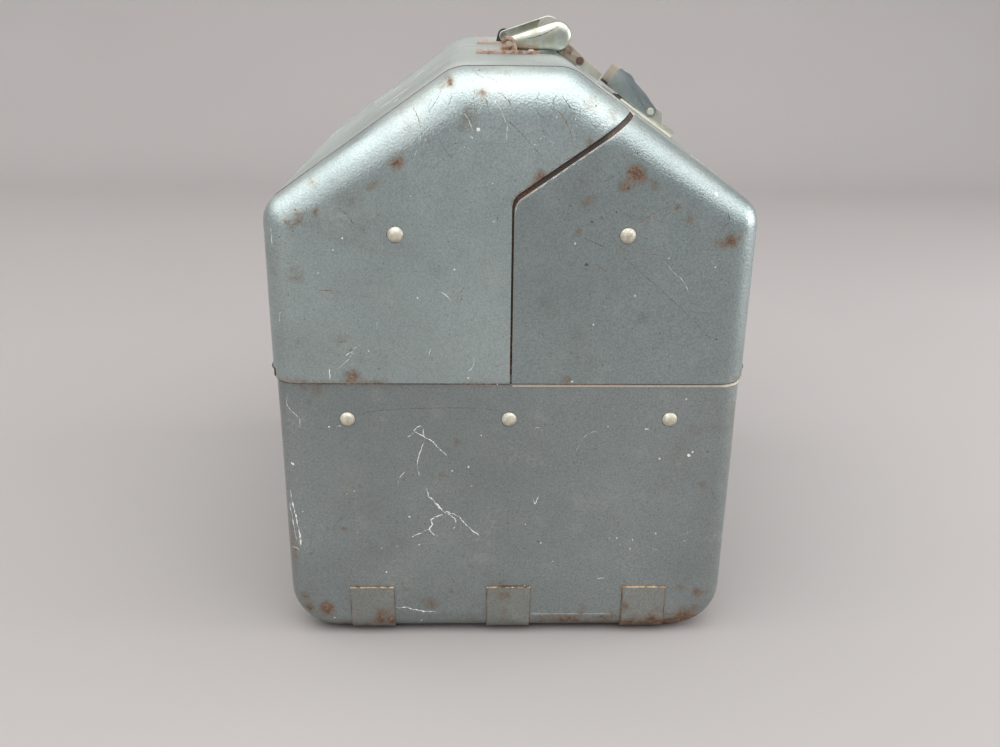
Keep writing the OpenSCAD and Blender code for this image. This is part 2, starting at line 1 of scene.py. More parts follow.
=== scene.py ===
"""Looks of the hip-roof steel case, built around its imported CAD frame. Metres, row frame."""
import json
import random
from itertools import groupby
from math import acos, atan2, copysign, cos, dist, exp, hypot, pi, radians, sin, sqrt, tan

import bmesh
import bpy
from mathutils import Matrix, Vector
from mathutils.bvhtree import BVHTree
from mathutils.noise import noise


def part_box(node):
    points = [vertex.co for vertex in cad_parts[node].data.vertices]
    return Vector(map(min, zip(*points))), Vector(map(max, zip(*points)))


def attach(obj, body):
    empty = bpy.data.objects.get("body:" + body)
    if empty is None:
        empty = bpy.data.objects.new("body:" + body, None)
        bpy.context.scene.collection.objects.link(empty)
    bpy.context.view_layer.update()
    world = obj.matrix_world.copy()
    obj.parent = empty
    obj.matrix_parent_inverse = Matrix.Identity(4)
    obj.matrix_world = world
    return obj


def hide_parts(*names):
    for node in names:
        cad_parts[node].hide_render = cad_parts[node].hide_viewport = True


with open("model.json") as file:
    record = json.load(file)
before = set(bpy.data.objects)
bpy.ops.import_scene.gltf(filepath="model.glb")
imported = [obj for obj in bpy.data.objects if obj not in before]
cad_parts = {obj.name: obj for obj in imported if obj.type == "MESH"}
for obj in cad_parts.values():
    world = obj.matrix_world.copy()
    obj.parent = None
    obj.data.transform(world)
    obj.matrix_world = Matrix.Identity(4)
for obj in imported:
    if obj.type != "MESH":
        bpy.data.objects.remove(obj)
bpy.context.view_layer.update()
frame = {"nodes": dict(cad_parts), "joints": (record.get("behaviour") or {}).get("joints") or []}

MM = 0.001

# ---- sizes

TUB_LOW, TUB_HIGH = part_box("base_tub")
CAP_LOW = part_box("left_front_cap")[0]
LID_HALF_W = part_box("right_front_cap")[1].x
LID_HALF_L = -CAP_LOW.y
SEAM_Z = CAP_LOW.z
TOP_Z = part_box("left_roof")[1].z
SHOULDER_Z = 250.6 * MM
FLAT_HALF = 29.25 * MM
CORNER_R = 16 * MM
BROW_R = 22 * MM
TUB_CORNER_R = 27 * MM
TUB_BEND_R = 12 * MM
LID_T = 1.0 * MM
TUB_T = 1.2 * MM
CAP_SEAM_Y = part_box("left_roof")[1].y
WALL_FOOT_Z = SEAM_Z + 6 * MM
FOOT_Y = LID_HALF_L - 5 * MM
RELIEF_Y = 138.5 * MM
ARM_SLOT = (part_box("right_arm_rear")[0].y - 0.8 * MM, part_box("right_arm_rear")[1].y + 0.8 * MM)
SLOPE = atan2(TOP_Z - SHOULDER_Z, LID_HALF_W - FLAT_HALF)
TILT = pi / 2 - SLOPE
DOWN = Vector((cos(SLOPE), 0, -sin(SLOPE)))
OUT = Vector((sin(SLOPE), 0, cos(SLOPE)))
PARTING_X = 0.5 * MM
PARTING_Z = 256.2 * MM
PARTING_R = 9 * MM
PARTING_FOOT_Z = SEAM_Z - 1 * MM
PARTING_REACH = 120 * MM
UPRIGHT_GAP = 1.2 * MM
SEAM_LINE = 0.55 * MM
LEDGE = 1.7 * MM
SLOPE_GAP = 2.8 * MM
HOOD_END_U = 44 * MM
GRID = 3 * MM
CAP_STEP = 0.42 * MM
CAP_STEP_RUN = 6 * MM
SEAM_GAP = 0.22 * MM
LAP_OVER = 2 * MM
LAP_UNDER = 8 * MM
LAP_FOOT_Z = WALL_FOOT_Z + 14 * MM
RIM_T = 1.2 * MM
RIM_HALF = 100 * MM
RIM_FOOT_Z = SEAM_Z - 6 * MM
SKID_CELL = 1.2
SKID_EDGE = 0.35 * MM
LIP_ANGLE = 50
EAR_FOOT = 2 * MM
SKIDS = ("skid_left", "skid_middle", "skid_right")
RIVET_CALM = 18 * MM
# Rivets of either end: x and z in mm
TUB_RIVETS = ((0, 137.6), (-87, 137.6), (87, 137.6))
LID_RIVETS = ((-58.5, 239), (58.5, 239))


# ---- node helpers

class Shader:
    """A material and short ways to add and link its nodes."""

    def __init__(self, name):
        self.material = bpy.data.materials.new(name)
        self.material.use_nodes = True
        self.tree = self.material.node_tree
        self.tree.nodes.clear()
        out = self.tree.nodes.new("ShaderNodeOutputMaterial")
        self.bsdf = self.tree.nodes.new("ShaderNodeBsdfPrincipled")
        self.tree.links.new(self.bsdf.outputs[0], out.inputs["Surface"])
        self.where = self.add("ShaderNodeTexCoord", {}, "Object")

    def add(self, kind, inputs, output=0, **settings):
        """Adds a node, fills its inputs by name or number and gives back one output."""
        made = self.tree.nodes.new(kind)
        for key, value in settings.items():
            setattr(made, key, value)
        for key, value in inputs.items():
            self.put(made.inputs[key], value)
        return made.outputs[output]

    def put(self, socket, value):
        """Links a socket or sets a constant; None leaves it as it is."""
        if isinstance(value, bpy.types.NodeSocket):
            self.tree.links.new(value, socket)
        elif socket.type == "RGBA":
            socket.default_value = (*value, 1)
        elif value is not None:
            socket.default_value = value

    def set(self, name, value):
        """Sets or links one input of the surface."""
        self.put(self.bsdf.inputs[name], value)

    def math(self, operation, a, b=0.0, c=0.0, clamp=False):
        return self.add("ShaderNodeMath", {0: a, 1: b, 2: c}, operation=operation, use_clamp=clamp)

    def times(self, a, b):
        return self.math("MULTIPLY", a, b)

    def noise(self, scale, detail=3.0, rough=0.5, distort=0.0, at=None, seed=0.0, low=None, high=None,
              output=0):
        """Noise as it is, or with low..high stretched to 0..1."""
        value = self.add("ShaderNodeTexNoise", {
            "Vector": at or self.where, "Scale": scale, "Detail": detail, "Roughness": rough,
            "Distortion": distort, "W": seed}, output, noise_dimensions="4D")
        return value if low is None else self.span(value, low, high)

    def cells(self, scale, at, feature="F1"):
        """Distance to the nearest of scattered points."""
        return self.add("ShaderNodeTexVoronoi", {"Vector": at, "Scale": scale}, "Distance", feature=feature)

    def span(self, value, low, high):
        """Maps low..high smoothly to 0..1, clamped."""
        return self.add("ShaderNodeMapRange", {"Value": value, "From Min": low, "From Max": high},
                        interpolation_type="SMOOTHSTEP")

    def mix(self, factor, a, b):
        """A colour between a and b."""
        return self.add("ShaderNodeMix", {"Factor": factor, 6: a, 7: b}, 2, data_type="RGBA")

    def blend(self, factor, a, b):
        """A number between a and b."""
        return self.add("ShaderNodeMix", {"Factor": factor, 2: a, 3: b}, data_type="FLOAT")

    def attribute(self, name):
        return self.add("ShaderNodeAttribute", {}, "Fac", attribute_name=name)

    def shift(self, scale, amount, seed):
        """Object coordinates pushed about by coarse noise."""
        colour = self.noise(scale, 2, seed=seed, output="Color")
        centre = self.add("ShaderNodeVectorMath", {0: colour, 1: (0.5,) * 3}, operation="SUBTRACT")
        return self.add("ShaderNodeVectorMath", {0: centre, 1: (amount,) * 3, 2: self.where},
                        operation="MULTIPLY_ADD")

    def bump(self, height, distance, strength=1.0, under=None):
        return self.add("ShaderNodeBump", {"Strength": strength, "Distance": distance, "Height": height,
                                           "Normal": under})

    def specks(self, scale, radius, share, seed):
        """Scattered round spots, 0 to 1; radius in cells of the scale, share of the cells used."""
        cells = self.cells(scale, self.shift(scale * 3, 0.5 / scale, seed))
        spot = self.span(cells, radius, radius * 0.6)
        red = self.add("ShaderNodeSeparateColor", {0: cells.node.outputs["Color"]})
        return self.times(spot, self.math("LESS_THAN", red, share))


# A warm pale, used both for dust and for a painted highlight on the lids.
DUST_AND_HIGHLIGHT = (0.72, 0.68, 0.57)
STAIN = (0.190, 0.175, 0.130)
HALO = (0.240, 0.165, 0.105)
ENAMEL_METALLIC = 0.84


def scaled(colour, *factors):
    """The colour times one factor, or times one for each channel."""
    return tuple(min(1, c * k) for c, k in zip(colour, factors if len(factors) == 3 else factors * 3))


def rust_colour(s):
    """Brown rust with dark pits and orange dust."""
    pits = s.noise(1100, 3, seed=1.0, low=0.40, high=0.60)
    brown = s.mix(pits, (0.060, 0.032, 0.020), (0.190, 0.090, 0.045))
    return s.mix(s.noise(420, 4, seed=2.0, low=0.50, high=0.70), brown, (0.320, 0.175, 0.090))


def enamel(name, base, worn=1.0):
    """Hammered stove enamel: silvery mottling in small hollows, chalky dusting (on the lids also a painted
    highlight), specks and rust.
    """
    s = Shader(name)
    rust_paint = s.attribute("rust")
    pale_paint = s.attribute("pale")
    cells = s.cells(1000, s.shift(700, 0.0009, 4.0), "SMOOTH_F1")
    cells.node.inputs["Smoothness"].default_value = 0.8
    hollow = s.span(cells, 0.15, 0.70)
    tone = s.mix(s.noise(7, 4, seed=5.0, low=0.3, high=0.7), scaled(base, 0.86), scaled(base, 1.12))
    tone = s.mix(s.times(hollow, 0.40), tone, scaled(base, 0.60))
    glint = s.times(s.noise(1500, 2, seed=6.0, low=0.50, high=0.78), 0.42)
    tone = s.mix(glint, tone, scaled(base, 1.6))
    # Olive-brown stains in soft clouds, and dark scuffs
    stain = s.noise(19, 7, 0.70, 0.4, seed=9.0, low=0.52, high=0.78)
    tone = s.mix(s.times(stain, 0.44 * worn), tone, STAIN)
    scuff = s.times(s.noise(75, 8, 0.74, 1.2, seed=10.0, low=0.59, high=0.72), 0.40 * worn)
    tone = s.mix(scuff, tone, scaled(base, 0.45))
    pinholes = s.times(s.specks(430, 0.20, 0.45, 16.0), 0.45)
    tone = s.mix(pinholes, tone, scaled(base, 0.30))
    # Chalky dust in faint clouds and pale specks; the pale attribute adds the same colour, which on the lids
    # is also a painted warm highlight on upward faces
    rub = s.noise(38, 6, 0.68, seed=7.0, low=0.50, high=0.76)
    rub = s.times(rub, s.noise(420, 3, seed=8.0, low=0.40, high=0.70))
    dust_and_highlight = s.math("MULTIPLY_ADD", pale_paint, 0.85, s.times(rub, 0.22 * worn), clamp=True)
    dust_and_highlight = s.math("MAXIMUM", dust_and_highlight, s.times(s.specks(95, 0.075, 0.16 * worn, 12.0), 0.85))
    tone = s.mix(dust_and_highlight, tone, DUST_AND_HIGHLIGHT)
    # Rust: a brown halo first, then the rust itself, thickest in the middle
    fine_grain = s.times(s.noise(520, 5, 0.66, seed=21.0), 0.34)
    grain = s.math("MULTIPLY_ADD", s.noise(130, 5, 0.6, seed=22.0), 0.40, fine_grain)
    wear = s.math("MULTIPLY_ADD", rust_paint, 0.46, grain)
    halo = s.times(s.span(wear, 0.48, 0.68), 0.55)
    rust = s.times(s.span(wear, 0.61, 0.75), 0.88)
    rust = s.math("MAXIMUM", rust, s.times(s.specks(120, 0.11, 0.05 * worn, 14.0), 0.70))
    tone = s.mix(halo, tone, HALO)
    s.set("Base Color", s.mix(rust, tone, rust_colour(s)))
    dull = s.math("MAXIMUM", rust, s.times(dust_and_highlight, 0.7))
    s.set("Metallic", s.blend(dull, ENAMEL_METALLIC, 0.0))
    gloss = s.blend(s.noise(60, 4, seed=31.0, low=0.3, high=0.7), 0.37, 0.47)
    s.set("Roughness", s.blend(dull, gloss, 0.85))
    s.set("Coat Weight", 0.12)
    s.set("Coat Roughness", 0.25)
    wave = s.bump(s.noise(22, 2, seed=41.0), 0.0012, 0.20)
    pits = s.bump(hollow, 0.00009, 0.70, wave)
    fine = s.bump(s.noise(1700, 3, seed=42.0), 0.00006, 0.8, pits)
    s.set("Normal", s.bump(s.times(rust, -1.0), 0.00010, 0.7, fine))
    return s.material


def rusty(name, paint, cover):
    """Bare or thinly painted steel under brown rust; cover 0 is all paint, 1 all rust."""
    s = Shader(name)
    fine_grain = s.times(s.noise(420, 5, 0.6, seed=52.0), 0.4)
    grain = s.math("MULTIPLY_ADD", s.noise(60, 6, 0.65, seed=51.0), 0.6, fine_grain)
    grain = s.math("MULTIPLY_ADD", s.attribute("rust"), 0.3, grain)
    edge = 0.72 - 0.44 * cover
    rust = s.span(grain, edge, edge + 0.14)
    tone = s.mix(s.noise(500, 3, seed=53.0), scaled(paint, 0.8), scaled(paint, 1.2))
    s.set("Base Color", s.mix(rust, tone, rust_colour(s)))
    s.set("Roughness", s.blend(rust, 0.45, 0.88))
    pits = s.bump(s.noise(1300, 4, seed=54.0), 0.00012, 0.6)
    s.set("Normal", s.bump(rust, 0.00012, 0.6, pits))
    return s.material


def plated(name, base, rough, stain, rust, metallic=1.0):
    """Plated steel with brushing, fingermarks, yellow stains and pinholes of rust."""
    s = Shader(name)
    stretch = s.add("ShaderNodeMapping", {"Vector": s.where, "Scale": (1, 0.06, 1)})
    lines = s.noise(2600, 2, at=stretch, seed=61.0)
    cloud = s.noise(90, 5, 0.6, seed=62.0, low=0.35, high=0.72)
    tone = s.mix(s.times(cloud, stain), base, scaled(base, 0.60, 0.55, 0.45))
    spots = s.math("MULTIPLY_ADD", s.attribute("rust"), 0.25, s.noise(520, 6, 0.7, seed=63.0))
    spots = s.span(spots, 0.78 - 0.22 * rust, 0.86 - 0.22 * rust)
    s.set("Base Color", s.mix(spots, tone, rust_colour(s)))
    s.set("Metallic", s.blend(spots, metallic, 0.0))
    s.set("Roughness", s.blend(spots, s.blend(cloud, rough, rough + 0.20), 0.8))
    soft = s.bump(s.noise(150, 3, seed=64.0), 0.0003, 0.25)
    s.set("Normal", s.bump(lines, 0.00003, 0.35, soft))
    return s.material


def rivet_metal(name):
    """Cream-white aluminium with dark specks."""
    s = Shader(name)
    cloud = s.noise(420, 5, 0.6, seed=71.0, low=0.35, high=0.7)
    tone = s.mix(cloud, (0.66, 0.62, 0.51), (0.46, 0.42, 0.33))
    specks = s.noise(1500, 3, seed=72.0, low=0.66, high=0.74)
    s.set("Base Color", s.mix(specks, tone, (0.20, 0.15, 0.10)))
    s.set("Metallic", 0.35)
    s.set("Roughness", s.blend(cloud, 0.34, 0.52))
    s.set("Normal", s.bump(s.noise(1100, 3, seed=73.0), 0.00006, 0.5))
    return s.material


def plain_mark(name, colour, rough):
    """Scuff and scratch marks with a little grain."""
    s = Shader(name)
    s.set("Base Color", s.mix(s.noise(1300, 3, seed=81.0), scaled(colour, 0.7), colour))
    s.set("Roughness", rough)
    return s.material


PAINT = (0.340, 0.392, 0.384)
M = {
    # The lids share one enamel: the left lid's copy is painted lighter and the right lid's darker, painted
    # light from the left and painted shade on the right.
    "lid_left": enamel("hammered_enamel_left_lid_painted_light", scaled(PAINT, 1.24)),
    "lid_right": enamel("hammered_enamel_right_lid_painted_shade", scaled(PAINT, 0.9)),
    "tub": enamel("hammered_enamel_tub", (0.304, 0.34, 0.336), worn=1.2),
    "inside": enamel("enamel_inside", scaled(PAINT, 0.85), worn=0.6),
    "skid": enamel("hammered_enamel_skids", (0.318, 0.335, 0.312), worn=1.4),
    "edge": rusty("rusty_sheet_edge", (0.12, 0.11, 0.095), 0.7),
    # Near black at the foot of the lids: painted shadow of the gap over the tub, with a little rust.
    "seam_shade": rusty("painted_seam_shadow", (0.03, 0.026, 0.022), 0.35),
    # Pale cream for the right lid's sheet edges and the tub's top band on the right: worn bare edge with a
    # painted highlight where these edges catch light from above.
    "ledge": rusty("worn_edge_and_painted_highlight", (0.68, 0.63, 0.52), 0.08),
    # Tan on the skids' top edges: the rusty cut edge with a painted highlight where it faces up to the light.
    "tan": rusty("tan_skid_edge_painted_highlight", (0.64, 0.45, 0.28), 0.2),
    # Near-black brown on the lip in the gap between the lids: rust darkened as painted shade.
    "lip": rusty("rusty_lip_painted_shade", (0.05, 0.036, 0.03), 0.3),
    "strap": rusty("strap_rust", (0.39, 0.285, 0.225), 0.26),
    "strike": rusty("strike_rust", (0.34, 0.29, 0.23), 0.3),
    "eye": rusty("rusty_eye", (0.12, 0.06, 0.05), 0.4),
    # The hinge leaves get a darker copy of the enamel: painted shade in the gap under the lids, with rust.
    "hinge": rusty("shaded_hinge_paint", (0.15, 0.168, 0.165), 0.4),
    "zinc": plated("zinc_plate", (0.62, 0.6, 0.53), 0.38, 0.5, 0.25),
    "latch": plated("latch_steel", (0.4, 0.44, 0.45), 0.26, 0.6, 0.25),
    "hood": rusty("worn_hood", (0.3, 0.265, 0.205), 0.25),
    "lever": plated("lever_steel", (0.66, 0.66, 0.58), 0.36, 0.6, 0.2),
    "tongue": plated("tongue_steel", (0.66, 0.65, 0.58), 0.34, 0.7, 0.2, 0.7),
    "plate": rusty("worn_cream_plate", (0.8, 0.75, 0.63), 0.12),
    "nickel": plated("handle_nickel", (0.6, 0.62, 0.56), 0.34, 0.95, 0.16),
    # Near black for the far ear of the handle's rear strap: painted shade.
    "dark": rusty("painted_shade_ear", (0.012, 0.012, 0.012), 0.05),
    "arm": plated("arm_zinc", (0.55, 0.55, 0.52), 0.36, 0.4, 0.2),
    "rivet": rivet_metal("rivet_cream"),
    "pale_mark": plain_mark("pale_scratch", (0.96, 0.95, 0.9), 0.6),
    "dark_mark": plain_mark("dark_scratch", (0.105, 0.09, 0.075), 0.7),
    "rust_mark": plain_mark("rusty_scratch", (0.26, 0.175, 0.12), 0.8),
}
MARKS = {"pale": 0, "dark": 1, "rust": 2}


# ---- mesh helpers

def finish_mesh(obj, angle=32):
    """Smooth shading with sharp edges kept."""
    mesh = obj.data
    mesh.polygons.foreach_set("use_smooth", [True] * len(mesh.polygons))
    mesh.set_sharp_from_angle(angle=radians(angle))


def add_object(name, data):
    obj = bpy.data.objects.new(name, data)
    bpy.context.scene.collection.objects.link(obj)
    return obj


def new_object(name, bm, materials):
    mesh = bpy.data.meshes.new(name)
    bm.to_mesh(mesh)
    bm.free()
    obj = add_object(name, mesh)
    for m in materials:
        mesh.materials.append(m)
    return obj


def bake_modifiers(obj):
    """Puts the modifiers' result into the mesh."""
    graph = bpy.context.evaluated_depsgraph_get()
    done = bpy.data.meshes.new_from_object(obj.evaluated_get(graph))
    obj.modifiers.clear()
    obj.data = done


def bevel(obj, width, angle=38):
    m = obj.modifiers.new("edge_round", "BEVEL")
    m.width = width
    m.segments = 2
    m.limit_method = "ANGLE"
    m.angle_limit = radians(angle)
    m.use_clamp_overlap = True


def paint(obj, name, value_at):
    """Stores value_at(point, normal) on the mesh's points."""
    mesh = obj.data
    layer = mesh.attributes.get(name) or mesh.attributes.new(name, "FLOAT", "POINT")
    layer.data.foreach_set("value", [value_at(v.co, v.normal) for v in mesh.vertices])


def tint(obj, index, wanted):
    """Gives the faces whose centre is wanted another of the object's materials."""
    for face in obj.data.polygons:
        if wanted(face.center):
            face.material_index = index


def retouch(obj, key, wanted):
    """Adds a second material, for the faces whose centre is wanted."""
    obj.data.materials.append(M[key])
    tint(obj, 1, wanted)


def surface_of(obj):
    return BVHTree.FromPolygons([v.co for v in obj.data.vertices], [f.vertices for f in obj.data.polygons])


def place(obj, body, slot, *nodes):
    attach(obj, body)
    if nodes:
        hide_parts(*nodes)
    return obj


def spread(bm, faces, co, no):
    geom = list({v for f in faces for v in f.verts}) + list({e for f in faces for e in f.edges}) + list(faces)
    bmesh.ops.bisect_plane(bm, geom=geom, dist=1e-7, plane_co=co, plane_no=no)


def cut_everywhere(bm, axis, values, wanted=lambda f: True):
    for value in values:
        co, no = Vector((0, 0, 0)), Vector((0, 0, 0))
        co[axis] = value
        no[axis] = 1
        spread(bm, [f for f in bm.faces if wanted(f)], co, no)


def steps(low, high, size):
    count = max(1, round((high - low) / size))
    return [low + (high - low) * k / count for k in range(1, count)]


def inside(points, x, z):
    """Whether x, z lies in the polygon."""
    hit = False
    for (x0, z0), (x1, z1) in zip(points, points[1:] + points[:1]):
        if (z0 > z) != (z1 > z) and x < (x1 - x0) * (z - z0) / (z1 - z0) + x0:
            hit = not hit
    return hit


# ---- rust and marks

# Places where rust has started on the front: x, z and radius in mm, and its strength
FRONT_RUST = [
    (-104, 18, 6, 1.0), (-114, 18, 5, .75), (-117, 25, 5, .6), (-44, 21, 5, .8), (-48, 23, 3, .6),
    (-22, 11, 6, .6), (-32, 29, 3, .6), (-58, 31, 3, .5), (-44, 125, 3, .6), (-28, 124, 3, .8),
    (-36, 103, 4, .65), (-92, 70, 3, .7), (-100, 70, 3, .55), (-95, 47, 3, .4), (-101, 88, 6, .35),
    (-102, 155, 5, .65), (-110, 156, 3, .55), (-84, 150, 3, .5), (-3, 34, 4, .6), (25, 10, 6, .65),
    (34, 9, 6, .8), (43, 9, 6, .8), (45, 18, 3, .6), (62, 11, 5, .6), (104, 11, 8, 1.0), (110, 17, 5, .75),
    (111, 28, 4, .95), (117, 27, 3, .6), (101, 32, 4, .75), (106, 38, 3, .5), (93, 95, 4, .45),
    (109, 99, 4, .65), (63, 72, 3, .6), (59, 151, 3, .5), (104, 130, 5, .4), (-110, 246, 5, .9),
    (-109, 218, 7, .5), (-112, 205, 5, .35), (-88, 183, 5, .55), (-84, 163, 6, .75), (-112, 182, 4, .5),
    (-98, 250, 3, .65), (-71, 262, 3, .6), (-79, 256, 3, .5), (-67, 265, 3, .5), (-99, 264, 4, .55),
    (-57, 275, 5, .9), (-31, 312, 4, .7), (-22, 296, 9, .5), (-52, 282, 4, .5), (-14, 307, 4, .7),
    (-41, 288, 5, .45), (14, 269, 4, .8), (10, 267, 3, .6), (37, 285, 3, .6), (60, 270, 5, .9),
    (64, 268, 3, .75), (36, 305, 6, .5), (56, 264, 4, .75), (38, 256, 5, .5), (36, 266, 4, .5),
    (82, 253, 3, .65), (89, 248, 4, .6), (111, 237, 5, .8), (105, 235, 4, .6), (30, 161, 4, .7),
    (33, 240, 3, .6), (70, 264, 3, .65), (117, 241, 4, .5), (86, 213, 3, .35), (50, 297, 5, .4),
]
# Scratches on the front in runs of one kind: width in mm and the x, z of the bends in mm
SCRATCHES = [
    ("pale", (
        (1.25, (-45, 96), (-44, 91), (-39, 85), (-35, 80)),
        (1.05, (-35, 81), (-29, 79), (-24, 74), (-20, 69), (-16, 66)),
        (.75, (-34, 80), (-30, 77), (-29, 74)),
        (.85, (-35, 80), (-42, 77), (-43, 75), (-42, 73), (-44, 70), (-41, 66)),
        (.6, (-44, 70), (-50, 67), (-54, 65)),
        (.7, (-55, 127), (-53, 128), (-51, 131), (-49, 133), (-47, 133), (-46, 128)),
        (.7, (-51, 130), (-46, 127), (-41, 124), (-38, 120), (-34, 116)),
        (.5, (-46, 124), (-49, 116), (-50, 110), (-49, 103)), (.4, (-61, 98), (-60, 102), (-57, 106)),
        (1.0, (-121, 93), (-120, 85), (-117, 68), (-117, 59)), (.8, (-122, 85), (-120, 69), (-119, 62)),
        (1.3, (-122, 57), (-120, 57), (-118, 56)),
        (.35, (-118, 152), (-119, 145), (-113, 138), (-113, 132)),
        (1.1, (-64, 18), (-58, 18), (-51, 16), (-41, 15)), (.6, (-51, 6), (-49, 10)),
        (.45, (14, 132), (16, 133), (18, 131)), (.45, (14, 90), (15, 86), (17, 91)),
        (.5, (52, 37), (57, 38)), (.4, (83, 57), (86, 56)),
    )),
    ("dark", (
        (.4, (-82, 140), (-66, 143), (-41, 144), (-17, 144), (-4, 142)),
        (.5, (113, 96), (115, 91), (118, 87)), (.5, (80, 32), (82, 29), (85, 23)),
    )),
    ("pale", (
        (.6, (-95, 168), (-95, 161)), (.5, (-86, 174), (-84, 176), (-81, 175)),
        (.7, (-121, 241), (-121, 233)), (.6, (-119, 198), (-120, 192)),
        (.65, (-19, 174), (-19, 172), (-20, 168), (-22, 166)), (.4, (-36, 209), (-34, 208), (-31, 205)),
    )),
    ("dark", ((.6, (-86, 252), (-82, 249), (-78, 242)), (.5, (-102, 252), (-102, 247), (-104, 242)),)),
    ("rust", (
        (.9, (-101, 212), (-98, 210), (-91, 210)), (.45, (-30, 203), (-28, 203), (-27, 207), (-23, 214)),
        (.45, (-27, 202), (-26, 203), (-25, 207), (-21, 212)),
    )),
    ("dark", ((.4, (-4, 258), (-7, 250), (-7, 242)),)),
    ("rust", (
        (.6, (-50, 302), (-46, 295), (-44, 285)), (.8, (-30, 306), (-31, 303), (-33, 300)),
        (.7, (-38, 292), (-32, 295)), (.8, (-8, 308), (-4, 306), (-1, 302), (1, 300)),
    )),
    ("dark", (
        (.4, (-14, 306), (-13, 304), (-12, 299)), (.4, (1, 301), (6, 303), (12, 306)),
        (.35, (-5, 297), (1, 292), (14, 278)), (.5, (12, 308), (11, 305)),
    )),
    ("rust", ((.6, (20, 307), (19, 302), (25, 296), (29, 285)),)),
    ("dark", (
        (.45, (23, 307), (26, 303), (31, 295)), (.35, (14, 304), (21, 299)), (.4, (37, 295), (41, 291)),
    )),
    ("rust", ((.5, (62, 244), (71, 251), (80, 255)),)),
    ("dark", ((.4, (80, 255), (82, 259), (86, 263)),)),
    ("rust", (
        (.4, (55, 235), (54, 232), (47, 223)), (.5, (39, 224), (43, 224), (49, 220)),
        (.4, (49, 241), (55, 233), (60, 231), (77, 229)),
    )),
    ("dark", (
        (.3, (57, 228), (72, 215), (89, 200), (105, 184)), (.4, (93, 241), (97, 243), (103, 244)),
        (.4, (30, 223), (35, 230)), (.3, (52, 254), (61, 247)), (.35, (36, 238), (51, 231)),
        (.5, (106, 243), (109, 247), (108, 252)),
    )),
    ("rust", ((.8, (53, 280), (55, 277)), (.6, (63, 269), (67, 267), (73, 262)),)),
    ("dark", ((.4, (45, 266), (50, 269)),)),
]
# Chips on the front: x, z and radius in mm
CHIPS = {
    "pale": (
        (-97, 133, .7), (-118, 110, 1.1), (-55, 78, .9), (-50, 60, .7), (-69, 42, .7), (-22, 109, .9),
        (-15, 128, .6), (-85, 94, .6), (-100, 11, .8), (99, 116, 1.4), (101, 118, 1.0), (83, 114, .8),
        (10, 73, .6), (62, 64, .7), (58, 64, .6), (71, 63, .6), (84, 67, .7), (70, 57, .6), (69, 15, .8),
        (19, 61, .6), (-17, 291, 1.5), (-85, 237, .8), (-90, 231, .7), (-29, 221, .7), (-48, 206, .7),
        (-74, 177, .6), (-22, 162, .8), (-98, 219, .5), (43, 192, .8), (33, 160, .9), (102, 260, 1.2),
    ),
    "dark": (
        (38, 224, 1.5), (57, 263, 1.4), (40, 246, 1.0), (52, 251, .8), (45, 248, .7), (78, 187, .7),
        (108, 184, .9), (32, 176, .8), (61, 280, .7), (40, 302, .7), (34, 304, .6), (23, 257, .6),
        (29, 254, .6), (-69, 167, .6),
    ),
}


def scattered_spots(seed, count):
    """Rust spots for the rear, as for the front."""
    draw = random.Random(seed)
    return [(draw.uniform(-118, 118), draw.choice((draw.uniform(5, 30), draw.uniform(30, 300))),
             draw.uniform(2, 7), draw.uniform(0.35, 0.8)) for _ in range(count)]


REAR_RUST = scattered_spots(5, 36)


def spot_rust(p):
    """How far rust has gone at a point of either end."""
    spots = FRONT_RUST if p.y < 0 else REAR_RUST
    return max(k * exp(-((p.x / MM - x) ** 2 + (p.z / MM - z) ** 2) / r ** 2) for x, z, r, k in spots)


def lid_rust(p, n):
    """Rust on the lids: bends, corners, the seam and the parting line."""
    flat = max(abs(n.x), abs(n.y), n.z, abs(n.x * OUT.x) + n.z * OUT.z)
    bend = max(0.0, min(1.0, (1.0 - flat) * 9))
    seam = exp(-(p.z - SEAM_Z) / (3.4 * MM))
    stained = 1.0 if p.x < PARTING_X else 0.40
    value = 0.42 * bend * (0.25 + 1.6 * noise(p * 30))
    value += seam * stained * (0.75 + 1.1 * noise(p * 42))
    if abs(p.y) > CAP_SEAM_Y:
        value = max(value, 1.2 * spot_rust(p))
        corner = hypot(p.x - PARTING_X, p.z - PARTING_Z)
        value = max(value, 0.5 * exp(-corner / (7 * MM)))
    return 0.9 * value + 0.26 * max(0.0, noise(p * 12 + Vector((3, 7, 1))) - 0.15)


def tub_rust(p, n):
    """Rust on the tub: the bottom bends, its corners and round the skids."""
    flat = max(abs(n.x), abs(n.y), abs(n.z))
    bend = max(0.0, min(1.0, (1.0 - flat) * 6))
    low = exp(-max(0.0, p.z - 4 * MM) / (7 * MM))
    value = 0.45 * bend * (0.4 + 1.3 * noise(p * 26)) + 0.90 * low * (0.75 + 1.3 * noise(p * 24))
    if abs(p.y) > TUB_HIGH.y - TUB_BEND_R:
        value = max(value, 0.92 * spot_rust(p))
    return value + 0.30 * max(0.0, noise(p * 11 + Vector((1, 2, 9))) - 0.14)


def lid_pale(p, n):
    """Chalky wear where hands and weather reach, and a painted warm highlight: pale on upward faces, most on
    the roof and less on its bends.
    """
    up = max(0.0, n.z)
    if abs(p.y) < CAP_SEAM_Y:
        return 0.34 * up * (0.75 + 0.7 * noise(p * 24))
    return 0.22 * up * (0.6 + noise(p * 30)) + 0.10 * max(0.0, noise(p * 60) - 0.25)


def tub_pale(p, n):
    return 0.10 * max(0.0, noise(p * 25) - 0.1) + 0.25 * max(0.0, noise(p * 90) - 0.38)


# ---- pressed shells

def panel_wave(p, n, room=1.0):
    """Slight waves of pressed sheet, fading near the rivets."""
    near = min((p.x - x * MM) ** 2 + (p.z - z * MM) ** 2 for x, z in TUB_RIVETS + LID_RIVETS)
    calm = min(1.0, near / RIVET_CALM ** 2)
    height = 0.22 * noise(p * 14) + 0.07 * noise(p * 45 + Vector((5, 1, 2)))
    return n * height * MM * calm * room


